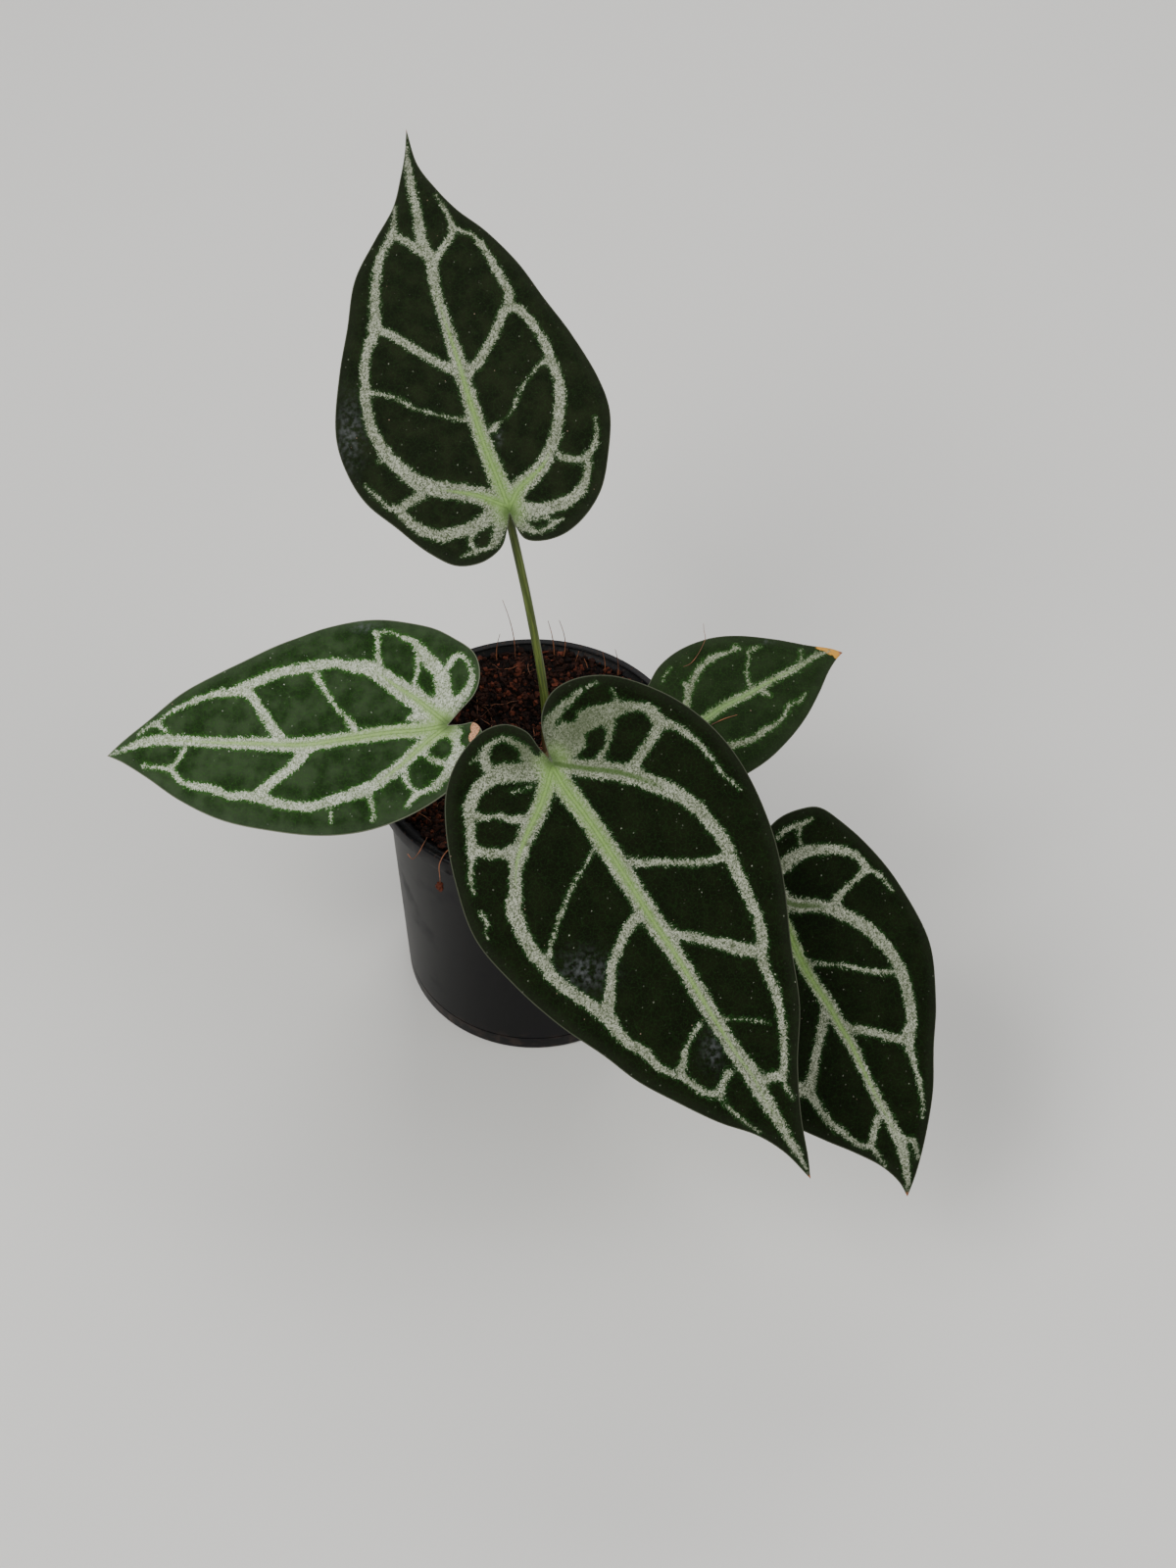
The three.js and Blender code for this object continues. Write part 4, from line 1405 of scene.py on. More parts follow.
@dataclass
class Stem:
    """The stem with its bud, and the roots below it.

    `outline` is the stem's side from its foot to its bud, as shares of its radius and its height.
    """

    size: StemSize = StemSize()
    roots: RootSize = RootSize()
    finish: StemFinish = StemFinish()
    outline: str = "0,0 0.72,0.02 0.95,0.16 1,0.45 0.95,0.68 0.78,0.82 0.42,0.94 0,1"
    scar_step: float = 3.9
    scar_depth: float = 0.28
    root_sides: int = 14

    def build(self) -> None:
        """Makes the stem and its roots, which replace their node together."""
        height = self.size.top - self.size.foot
        outline = spots(self.outline) * (self.size.radius, height) + (0, self.size.foot)
        curve = smooth_curve(outline, 14)
        curve[:, 0] = np.maximum(curve[:, 0], 0)
        grooves = np.exp(-(((curve[:, 1] % self.scar_step) - self.scar_step / 2) ** 2) / 0.18)
        curve[1:-1, 0] = np.maximum(curve[1:-1, 0] - self.scar_depth * grooves[1:-1], 0.05)
        draft = turned_on_axis(curve, 40, self.size.centre)
        draft.finishes = [self.finish.stem()]
        hand_over(draft.make("stem_and_bud"), Slot.STEM, "stem_with_roots")
        roots = tubes("roots", self.roots.threads(self.size), self.root_sides, self.finish.roots())
        hand_over(roots, Slot.STEM)


@dataclass(frozen=True)
class PotFinish:
    """Satin black plastic with a fine grain, scuffs and a little soil dust."""

    black: Colour = (6, 6, 7)
    worn: Colour = (20, 18, 23)
    dust: Colour = (70, 54, 46)

    def material(self) -> Material:
        """Makes the pot's material.

        Returns:
            The material, dusty at the foot and at the lip.
        """
        s = Shader("black_pot_plastic")
        height = s.outlet_of(s.node("ShaderNodeSeparateXYZ", {"Vector": s.place}), "Z")
        scuff = s.step(s.grain(16.0, 6.0), 0.5, 0.72, 0.6)
        colour = s.mix(scuff, self.black, self.worn)
        stretched = s.node("ShaderNodeMapping", {"Vector": s.place, "Scale": (1.0, 1.0, 0.06)})
        colour = s.mix(s.step(s.grain(0.7, 2.0, stretched), 0.6, 0.72, 0.35), colour, self.worn)
        foot = s.math("MULTIPLY", s.step(height, 0.014, 0.0), s.step(s.grain(4.0, 4.0), 0.45, 0.65, 0.5))
        lip = s.math("MULTIPLY", s.step(height, 0.108, 0.119), s.step(s.grain(1.3, 4.0), 0.56, 0.7, 0.55))
        colour = s.mix(s.math("MAXIMUM", foot, lip), colour, self.dust)
        roughness = s.math("ADD", s.math("MULTIPLY_ADD", scuff, 0.18, 0.4), s.math("MULTIPLY", lip, 0.3))
        return s.close(colour, roughness, s.raised(s.grain(0.5, 3.0), 0.05, 0.5), specular=0.12)


def drain_recipe() -> GeometryRecipe:
    """Round holes on a circle through a pot's floor.

    Returns:
        The recipe.
    """
    recipe = GeometryRecipe("drain_holes")
    lengths = ("Circle radius", "Hole radius", "Depth", "Half step")
    kinds = {"Count": "Int", **dict.fromkeys(lengths, "Float"), "Finish": "Material"}
    count, circle_radius, hole_radius, depth, half_step, finish = recipe.sizes(kinds)
    circle = recipe.node("GeometryNodeMeshCircle", {"Vertices": count, "Radius": circle_radius})
    turn = recipe.node("ShaderNodeCombineXYZ", {"Z": half_step})
    turned = recipe.node("GeometryNodeTransform", {"Geometry": circle, "Rotation": turn})
    drill = recipe.node("GeometryNodeMeshCylinder", {"Vertices": 40, "Radius": hole_radius, "Depth": depth})
    inputs = {"Points": turned, "Instance": recipe.outlet_of(drill, "Mesh")}
    drills = recipe.node("GeometryNodeInstanceOnPoints", inputs)
    real = recipe.node("GeometryNodeRealizeInstances", {"Geometry": drills})
    inputs = {"Mesh 1": recipe.geometry, "Mesh 2": real}
    recipe.end(recipe.node("GeometryNodeMeshBoolean", inputs, operation="DIFFERENCE"), finish)
    return recipe


@dataclass
class NurseryPot:
    """A round nursery pot: a thin tapered cup with a turned-down skirt round its lip."""

    height: float = 120.0
    rim_radius: float = 60.0
    lip_inner_radius: float = 56.8
    skirt_height: float = 8.0
    skirt_thickness: float = 1.3
    body_top_radius: float = 55.6
    base_radius: float = 51.0
    wall: float = 1.3
    floor: float = 1.6
    edge_round: float = 1.2
    groove_depth: float = 0.35
    drain_holes: int = 8
    drain_hole_radius: float = 4.2
    drain_circle_radius: float = 38.0
    segments: int = 192
    sharp_deg: float = 32.0
    finish: PotFinish = PotFinish()

    def inner_radius(self, height: float) -> float:
        """Radius of the pot's inside at a height."""
        share = height / self.height
        return self.base_radius + (self.body_top_radius - self.base_radius) * share - self.wall

    def profile(self) -> Rows:
        """Draws the wall, from the axis under the base, up the outside and down the inside.

        Returns:
            Rows of (radius, height).
        """

        def arc(centre: Point2, radius: float, start: float, stop: float) -> list[Point2]:
            """A rounded corner, with its angles in degrees."""
            turns = np.radians(np.linspace(start, stop, 6))
            return [(centre[0] + radius * math.cos(t), centre[1] + radius * math.sin(t)) for t in turns]

        underside = self.height - self.wall
        skirt_foot = self.height - self.skirt_height
        skirt_inner = self.rim_radius - self.skirt_thickness
        small = self.skirt_thickness / 2
        outer = self.body_top_radius
        edge = self.edge_round
        points = [(0, 0), (30.0, 0), (44.0, 0), (44.5, 0.5), (46.5, 0.5), (47.0, 0)]
        points += arc((self.base_radius - edge, edge), edge, -90, 0)
        for share in (0.06, 0.0605, 0.064, 0.0645, 0.25, 0.5, 0.75, 0.9):
            sunk = self.groove_depth if 0.06 < share < 0.0645 else 0.0
            radius = self.base_radius + (outer - self.base_radius) * share
            points.append((radius - sunk, self.height * share))
        points += [(outer, underside - 0.3), (outer + 0.3, underside), (skirt_inner - 0.3, underside)]
        points += [(skirt_inner, underside - 0.3)]
        points += arc((skirt_inner + small - 0.1, skirt_foot + small), small, 180, 360)
        points += arc((self.rim_radius - edge, self.height - edge), edge, 0, 90)
        points += arc((self.lip_inner_radius + 0.5, self.height - 0.5), 0.5, 90, 180)
        points += [(self.inner_radius(self.height) + 0.4, self.height - 1.6)]
        points += [(self.inner_radius(h), h) for h in (self.height - 2.4, 112.0, 100.0, 60.0, 20.0, 3.0)]
        points += [(self.inner_radius(self.floor) - 1.2, self.floor), (30.0, self.floor), (0, self.floor)]
        return np.array(points)

    def build(self) -> None:
        """Makes the pot with its drain holes, which replaces its node."""
        values = {
            "Count": self.drain_holes,
            "Circle radius": self.drain_circle_radius * MM,
            "Hole radius": self.drain_hole_radius * MM,
            "Depth": self.floor * 4 * MM,
            "Half step": math.pi / self.drain_holes,
            "Finish": self.finish.material(),
        }
        blank = turned_on_axis(self.profile(), self.segments).make("pot_blank")
        pot = drain_recipe().grow(blank, "nursery_pot", values)
        pot.data.polygons.foreach_set("use_smooth", np.ones(len(pot.data.polygons), bool))
        pot.data.set_sharp_from_angle(angle=math.radians(self.sharp_deg))
        hand_over(pot, Slot.POT, "pot")


class GrainShape(Enum):
    """The bits that coir soil is made of: how long, wide and thick each is, for a size of 1."""

    CRUMB = (1.25, 1.0, 0.85)
    LUMP = (1.0, 0.95, 0.9)
    CHIP = (1.9, 1.15, 0.5)
    SPLINTER = (3.2, 0.42, 0.3)


@dataclass(frozen=True)
class CoirFinish:
    """Red-brown coir: dark crumbs, redder chips and orange-brown fibres."""

    dark: Colour = (9, 5, 4)
    brown: Colour = (48, 27, 20)
    red: Colour = (106, 54, 38)
    fibre: Colour = (104, 62, 42)
    fibre_pale: Colour = (158, 98, 66)

    def soil(self) -> Material:
        """Makes the material of the bed and of its crumbs.

        Returns:
            The material, which reads each one's own tone.
        """
        s = Shader("coir_crumbs")
        tone = s.value_of("tone")
        colour = s.mix(s.step(tone, 0.05, 0.7), self.dark, self.brown)
        colour = s.mix(s.step(tone, 0.72, 1.0), colour, self.red)
        colour = s.mix(s.step(s.grain(0.9, 4.0), 0.42, 0.68, 0.6), colour, self.dark)
        colour = s.mix(s.step(s.grain(0.35, 2.0), 0.62, 0.74, 0.5), colour, self.red)
        return s.close(colour, 0.85, s.raised(s.grain(0.35, 4.0), 0.25, 0.8), specular=0.15)

    def fibres(self) -> Material:
        """Makes the material of loose fibres.

        Returns:
            The material, paler towards their ends.
        """
        s = Shader("coir_fibre")
        colour = s.mix(s.step(s.grain(5.0), 0.35, 0.65), self.fibre, self.fibre_pale)
        colour = s.mix(s.step(s.value_of("share"), 0.35, 0.0, 0.7), colour, self.brown)
        return s.close(colour, 0.7, s.raised(s.grain(0.3), 0.05, 0.6))


def scatter_recipe() -> GeometryRecipe:
    """Bits of many shapes and sizes, strewn over a surface.

    Returns:
        The recipe, which writes a random `tone` on each bit.
    """
    recipe = GeometryRecipe("strewn_bits")
    amounts = dict.fromkeys(("Per area", "Smallest", "Largest", "Tilt"), "Float")
    kinds = {"Bits": "Collection", **amounts, "Seed": "Int", "Finish": "Material"}
    bits, per_area, smallest, largest, tilt, seed, finish = recipe.sizes(kinds)

    def chance(offset: int) -> Socket:
        """A random share from 0 to 1 for each bit."""
        inputs = {"Seed": recipe.math("ADD", seed, offset)}
        return recipe.outlet_of(recipe.node("FunctionNodeRandomValue", inputs, data_type="FLOAT"))

    inputs = {"Mesh": recipe.geometry, "Density": per_area, "Seed": seed}
    points = recipe.node("GeometryNodeDistributePointsOnFaces", inputs)
    inputs = {"Collection": bits, "Separate Children": True, "Reset Children": True}
    shapes = recipe.node("GeometryNodeCollectionInfo", inputs)
    span = recipe.math("SUBTRACT", largest, smallest)
    scale = recipe.math("MULTIPLY_ADD", recipe.math("POWER", chance(1), 2.2), span, smallest)
    lean = recipe.math("MULTIPLY", tilt, -0.5)
    angles = {way: recipe.math("MULTIPLY_ADD", chance(k), tilt, lean) for way, k in (("X", 2), ("Y", 3))}
    angles["Z"] = recipe.math("MULTIPLY", chance(4), 2 * math.pi)
    inputs = {
        "Points": recipe.outlet_of(points, "Points"),
        "Instance": shapes,
        "Pick Instance": True,
        "Rotation": recipe.node("ShaderNodeCombineXYZ", angles),
        "Scale": scale,
    }
    strewn = recipe.node("GeometryNodeInstanceOnPoints", inputs)
    recipe.end(recipe.marked(strewn, "tone", chance(5), domain="INSTANCE"), finish)
    return recipe


@dataclass(frozen=True)
class FallenFibre:
    """A coir fibre that lies on a blade, as spots "x,y,height over the blade" placed in the photograph."""

    blade: BladeShape
    line: str
    radius: float = 0.15
    blade_skin: float = 0.4

    def thread(self) -> Thread:
        """Lays the fibre on its blade.

        Returns:
            Its path and radii.
        """
        line = spots(self.line)
        flat = self.blade.from_photo(line[:, :2])
        path = smooth_curve(self.blade.in_space(flat, line[:, 2] + self.blade_skin), 10)
        return path, self.radius * np.linspace(1.0, 0.6, len(path))


@dataclass
class CoirSoil:
    """The coir soil: a closed bed in the pot, strewn crumbs, chips and splinters, and loose fibres.

    `uprights` holds the fibres that stand out of the soil, as (x, y, height, lean along x, lean along
    y, curl). `stray_bends` holds the stray fibre's (distance from the axis, height), and `rim_curl`
    the pixels of the curl over the rim.
    """

    pot: NurseryPot
    level: float = 110.6
    edge_rise: float = 7.2
    dish_radius: float = 24.0
    edge_drop: float = 0.6
    relief: float = 1.1
    clearance: float = 0.3
    rings: int = 44
    segments: int = 132
    strewn_reach: float = 54.6
    seed: int = 7
    fibre_radius: float = 0.24
    fibre_sides: int = 6
    rooted_depth: float = 2.5
    loose_fibres: int = 90
    loose_start: float = 49.0
    loose_reach: float = 51.5
    loose_step: float = 1.6
    uprights: str = (
        "-6.9,51.6,30,-4.3,2.2,0.4 8.2,51.8,18.5,-2.1,1.7,0.3 11.4,51.3,18.5,-1,2.2,1.5 "
        "16.1,49.4,5,1.9,1,0.4 27.6,44.8,9.7,-0.5,1.2,0.6 32.9,41.5,14,-1,1,0.5 -13.8,50.5,14,1.3,1,-0.5 "
        "-36.5,-32,4,-5,2,0.8 21,45,5,-1,1.5,0.5 -43,-26,5,-3,2,1.2"
    )
    fallen: tuple[FallenFibre, ...] = ()
    stray_direction_deg: float = 237.7
    stray_bends: str = "46,109.5 50.5,115.5 54.5,120.7 58.5,121.5 61.7,119.4 62,111 62.2,106.4"
    rim_curl: str = "436,855 432,862 427,871 421,877 416,872"
    rim_curl_height: float = 120.4
    crumb_radius: float = 1.7
    finish: CoirFinish = CoirFinish()

    def height_at(self, x: float, y: float) -> float:
        """Measures the soil's surface, which banks up to the wall and has lumps.

        Args:
            x: Place across.
            y: Place away from the camera.

        Returns:
            Its height.
        """
        radius = math.hypot(x, y)
        bank = self.edge_rise * float(ramp(radius, self.dish_radius, self.pot.base_radius))
        onto_lip = 1.1 * float(ramp(radius, 52.5, self.strewn_reach))
        broad = math.sin(0.17 * x + 0.9) * math.cos(0.15 * y - 0.4)
        fine = 0.6 * math.sin(0.42 * x - 0.31 * y) + 0.4 * math.cos(0.29 * x + 0.53 * y + 1.2)
        lumps = self.relief * 0.5 * (broad + fine) + 0.7 * noise.noise(Vector((x, y, 0)) * 0.4)
        return self.level + bank + onto_lip + lumps

    def bed(self) -> MeshDraft:
        """Forms the bed.

        Returns:
            A closed draft with a fine lumpy top.
        """
        edge = self.level + self.edge_rise - self.edge_drop
        foot = self.pot.floor + self.clearance
        wall = [(self.pot.inner_radius(h) - self.clearance, h) for h in np.linspace(foot, edge, 12)]
        top_radius = self.pot.inner_radius(edge) - 1.0
        top = [(top_radius * (1 - k / self.rings), edge) for k in range(self.rings)]
        profile = np.array([(0, foot), (wall[0][0] * 0.5, foot), *wall, *top, (0, edge)])
        draft = turned_on_axis(profile, self.segments)
        first = (1 + len(wall)) * self.segments
        for corner in [*draft.corners[first:-2], draft.corners[-1]]:
            corner[2] = self.height_at(corner[0], corner[1])
        draft.values["tone"] = np.full(len(draft.corners), 0.08)
        return draft

    def ground(self) -> MeshDraft:
        """Forms the soil's top, out over the lip's inner slope, for the bits to be strewn on.

        Returns:
            An open draft.
        """
        n = self.segments
        turns = [2 * math.pi * k / n for k in range(n)]
        radii = np.linspace(0.5, self.strewn_reach, self.rings)
        places = [(r * math.cos(t), r * math.sin(t)) for r in radii for t in turns]
        corners = np.array([(x, y, self.height_at(x, y)) for x, y in places])
        faces: list[tuple[int, ...]] = [
            (i * n + j, (i + 1) * n + j, (i + 1) * n + (j + 1) % n, i * n + (j + 1) % n)
            for i in range(self.rings - 1)
            for j in range(n)
        ]
        return MeshDraft(corners, faces)

    def bit(self, shape: GrainShape, number: int) -> Object:
        """Makes one rough bit of soil with a few faces.

        Args:
            shape: What it is.
            number: Which of its kind, so that each differs.

        Returns:
            The bit, about 1 mm in size, as an object for the strewing.
        """
        draw = random.Random(f"{shape.name}{number}")
        length, width, thickness = shape.value
        rows = 3 if shape is GrainShape.SPLINTER else 2
        around = 5 if shape is GrainShape.LUMP else 4
        corners: list[Point3] = [(-length / 2, draw.uniform(-0.1, 0.1), 0.0)]
        for row in range(rows):
            x = length * (-0.3 + 0.6 * row / (rows - 1))
            for k in range(around):
                angle = 2 * math.pi * (k + 0.5 * row) / around + draw.uniform(-0.3, 0.3)
                reach = draw.uniform(0.75, 1.2)
                side = x + draw.uniform(-0.1, 0.1) * length
                up = 0.5 * thickness * reach * math.sin(angle)
                corners.append((side, 0.5 * width * reach * math.cos(angle), up))
        corners.append((length / 2, draw.uniform(-0.1, 0.1), draw.uniform(-0.1, 0.1)))
        last = len(corners) - 1
        top = last - around
        faces: list[tuple[int, ...]] = []
        for k in range(around):
            after = (k + 1) % around
            faces.append((0, 1 + after, 1 + k))
            for low in range(1, top, around):
                high = low + around
                faces.append((low + k, low + after, high + k))
                faces.append((low + after, high + after, high + k))
            faces.append((last, top + k, top + after))
        return MeshDraft(np.array(corners), faces, smooth=False).make(f"bit_{shape.name.lower()}_{number}")

    def strew(self, name: str, shapes: dict[GrainShape, int], values: dict[str, Any]) -> None:
        """Strews bits over the bed's top, as one plain mesh.

        Args:
            name: Name of the piece.
            shapes: How many different bits of each shape to mix.
            values: The recipe's sizes.
        """
        bits = bpy.data.collections.new(f"{name}_bits")
        for shape, count in shapes.items():
            for number in range(count):
                piece = self.bit(shape, number)
                bpy.context.scene.collection.objects.unlink(piece)
                bits.objects.link(piece)
        ground = self.ground().make(f"{name}_ground")
        strewn = scatter_recipe().grow(ground, name, {"Bits": bits, "Seed": self.seed, **values})
        for source in list(bits.objects):
            bpy.data.objects.remove(source)
        bpy.data.collections.remove(bits)
        hand_over(strewn, Slot.SOIL)

    @staticmethod
    def fibre(points: Sequence[Point3], spacing: float, radius: float, start: float, end: float) -> Thread:
        """Draws one fibre.

        Args:
            points: Where it passes.
            spacing: Steps along it.
            radius: Its radius.
            start: The share of the radius that it starts with.
            end: The share of the radius that it ends with.

        Returns:
            Its path and radii.
        """
        path = evenly_spaced(smooth_curve(points), spacing, 3)
        return path, radius * np.linspace(start, end, len(path))

    def standing_fibres(self) -> Iterable[Thread]:
        """Draws the fibres that stand out of the soil and the stray one over the rim.

        Yields:
            Each one's path and radii.
        """
        for x, y, height, dx, dy, curl in spots(self.uprights):
            base = self.height_at(x, y) - self.rooted_depth
            rise = height + self.rooted_depth
            points = [
                (x + dx * t * t + curl * math.sin(math.pi * t), y + dy * t * t, base + rise * t)
                for t in (0, 0.25, 0.5, 0.75, 1)
            ]
            yield self.fibre(points, 0.7, self.fibre_radius, 1.1, 0.45)
        yield self.fibre(self.stray_points(), 0.7, self.fibre_radius, 1.0, 0.6)

    def stray_points(self) -> list[Point3]:
        """Leads the stray fibre over the rim.

        Returns:
            The points that it passes.
        """
        angle = math.radians(self.stray_direction_deg)
        bends = spots(self.stray_bends)
        return [(out * math.cos(angle), out * math.sin(angle), height) for out, height in bends]

    def lying_fibres(self) -> Iterable[Thread]:
        """Draws the loose fibres on the soil, each as a walk that bends at random.

        Yields:
            Each one's path and radii.
        """
        draw = random.Random(self.seed)
        for _ in range(self.loose_fibres):
            radius, turn = self.loose_start * math.sqrt(draw.random()), draw.uniform(0, 2 * math.pi)
            heading, bend = draw.uniform(0, 2 * math.pi), draw.uniform(-0.35, 0.35)
            x, y = radius * math.cos(turn), radius * math.sin(turn)
            points = []
            for _ in range(draw.randint(5, 10)):
                if math.hypot(x, y) > self.loose_reach:
                    break
                points.append((x, y, self.height_at(x, y) + 0.5 + 0.9 * draw.random()))
                x, y = x + self.loose_step * math.cos(heading), y + self.loose_step * math.sin(heading)
                heading += bend + draw.uniform(-0.2, 0.2)
            if len(points) > 3:
                yield self.fibre(points, 0.8, self.fibre_radius * draw.uniform(0.4, 0.8), 1, 0.6)

    def curl_over_rim(self) -> Thread:
        """Places the curled fibre on the rim, where the camera sees it.

        Returns:
            Its path and radii.
        """
        eye, rays = np.array(CAMERA.position), CAMERA.rays(spots(self.rim_curl))
        drop = (self.rim_curl_height - eye[2]) / rays[:, 2:]
        curl = smooth_curve(eye + rays * drop + (0, 0, 0.3), 10)
        return curl, np.full(len(curl), self.fibre_radius * 0.7)

    def crumb(self) -> MeshDraft:
        """Forms the crumb of coir on the end of the stray fibre.

        Returns:
            A closed draft.
        """
        turns = np.linspace(0, math.pi, 13)
        profile = np.stack([self.crumb_radius * np.sin(turns), -self.crumb_radius * np.cos(turns)], axis=1)
        profile[[0, -1], 0] = 0.0
        ball = turned_on_axis(profile, 20)
        for corner in ball.corners:
            corner *= 1 + 0.45 * noise.fractal(Vector(corner) * 0.9, 1.0, 2.0, 4)
        ball.corners = ball.corners * (0.9, 0.9, 1.1) + np.array(self.stray_points()[-1])
        ball.values["tone"] = np.full(len(ball.corners), 0.9)
        return ball

    def build(self) -> None:
        """Makes the soil's pieces; the bed replaces the soil's node."""
        soil = self.finish.soil()
        bed = self.bed()
        bed.finishes = [soil]
        hand_over(bed.make("soil_bed"), Slot.SOIL, "soil")
        crumbs = {"Per area": 620000.0, "Smallest": 0.7, "Largest": 3.0, "Tilt": 6.2, "Finish": soil}
        self.strew("soil_crumbs", {GrainShape.CRUMB: 6, GrainShape.LUMP: 6}, crumbs)
        chips = {"Per area": 130000.0, "Smallest": 1.0, "Largest": 3.2, "Tilt": 1.3, "Finish": soil}
        self.strew("soil_chips", {GrainShape.CHIP: 5, GrainShape.SPLINTER: 5}, chips)
        on_blades = [fibre.thread() for fibre in self.fallen]
        threads = [self.curl_over_rim(), *on_blades, *self.standing_fibres(), *self.lying_fibres()]
        hand_over(tubes("coir_fibres", threads, self.fibre_sides, self.finish.fibres()), Slot.SOIL)
        crumb = self.crumb()
        crumb.finishes = [soil]
        hand_over(crumb.make("stray_crumb"), Slot.SOIL)


DARK_VELVET = VelvetFinish("dark_velvet", (14, 18, 6), (20, 25, 10), (26, 56, 20))
RAISED_VELVET = VelvetFinish("raised_velvet", (19, 24, 12), (30, 35, 20), (34, 58, 26))
# Painted light: this velvet's brighter silver, lime and margin and its lighter cells stand in for the
# stronger light on the left blade, on top of that blade's own greener colour.
GREEN_VELVET = VelvetFinish(
    "green_velvet",
    (30, 46, 22),
    (54, 69, 45),
    (50, 94, 32),
    silver=(222, 226, 208),
    silver_shade=(112, 126, 90),
    lime=(144, 178, 98),
    lime_bright=(164, 198, 114),
    margin=(72, 84, 64),
    margin_line=(128, 132, 112),
    tip_brown_mm=0.2,
)
TIPPED_VELVET = VelvetFinish(
    "tipped_velvet",
    (26, 37, 18),
    (36, 48, 27),
    (40, 74, 28),
    silver=(166, 172, 148),
    lime=(116, 146, 88),
    margin=(50, 58, 42),
)

BACK = LeafBlade(
    name="back",
    slot=Slot.DARK_VELVET,
    finish=RAISED_VELVET,
    shape=BladeShape(
        stalk_point=(-6.6, 28.1, 220), tip=(-46, 165.1, 284), facing=(0, -0.45, 0.9), half_width=52, bow=-5,
        sway=0, arch_across=8, arch_along=6, lobe_lift=5, wave_height=1.4, waves=3.0, wave_phase=2.0,
        right="0,0 0.8,-5 3,-11 9,-13.5 17,-13 25.5,-8.5 34,0.5 40,13 44.5,28 43.5,42 38.5,60 32,75.5 "
        "26,91.5 18,106.5 10,117.5 4.5,128.5 0.5,140 0,156.3",
        left="0,0 -2,-5 -6,-12 -14,-16 -23,-15 -31,-8 -40,4 -49,16.5 -53,30 -53.5,44 -47,64.5 -40,81.5 "
        "-33,99 -22,113 -12.5,124.5 -7,136 -3,146 0,156.3",
    ),
    ribs={
        "midrib": "520,520,20 504,479,18 494,454,16 478,404,15 467,367,14 451,318,10 444,293,10 440,268,11 "
        "430,244,10 426,219,9 420,194,8 416,169,6 414,145,2",
        "left_basal": "520,518,22 488,506,18 441,498,16 424,491,15 409,479,13 394,464,12 383,446,11 "
        "376,427,10 372,382,9 375,357,9 382,338,11 383,298,9 388,263,8 395,249,7 400,239,7 402,224,4 "
        "403,211,2",
        "right_basal": "520,518,22 528,501,18 540,489,16 553,476,14 561,461,13 567,444,11 572,404,10 "
        "569,385,9 560,362,9 553,345,8 533,318,8 520,310,9 519,298,8 511,283,8 501,266,7 492,251,6 "
        "483,241,3 462,233,3",
    },
    bands={
        "left_side_low": "466,380,9 449,372,8 412,350,8 397,341,8 382,336,10",
        "left_thread": "476,429,3 459,427,2 439,422,1.6 424,418,2 407,408,2.6 392,403,3 377,401,5",
        "left_side_high": "431,258,8 421,251,7 409,244,7 400,240,7",
        "right_side_low": "478,380,10 488,370,9 507,335,8 513,320,9 519,312,9",
        "right_side_high": "441,268,8 449,258,7 461,239,6 462,233,6 459,224,4 452,211,3 445,200,2",
        "right_thread": "503,438,8 508,433,3 513,429,0.1 520,424,0.1 524,418,2 528,407,2.5 535,392,2 "
        "543,382,1 550,373,3 559,369,5",
        "right_lobe_up": "571,466,7 585,469,6 598,466,6 606,456,5 609,442,4 607,427,2",
        "right_lobe_down": "598,466,6 600,476,6 598,489,7 592,501,10 580,511,11 548,521,14 528,520,18",
        "right_lobe_inner": "527,529,16 533,536,11 541,541,6 551,542,4 561,538,4 567,533,4 574,530,2",
        "right_lobe_spur": "541,531,2 552,530,1.5 560,529,2",
        "left_lobe": "520,521,18 503,526,16 488,536,13 468,543,11 449,547,11 431,542,10 419,533,9 "
        "409,523,9 414,516,8 429,506,9",
        "left_lobe_thread": "409,522,5 394,516,4 383,506,3 373,496,2",
        "left_stub": "397,469,4 386,472,2",
        "left_lobe_loop": "513,530,16 509,539,13 508,548,10 504,555,7 497,560,4 488,562,3 479,566,3 "
        "471,569,1.5",
        "left_lobe_loop_end": "483,543,6 480,550,4 481,557,3 486,562,2",
    },
    marks={
        # Painted glare on the velvet.
        MarkKind.MEALY: "357,443,12,30 510,447,3,6",
    },
    lime_reach=0.55,
)

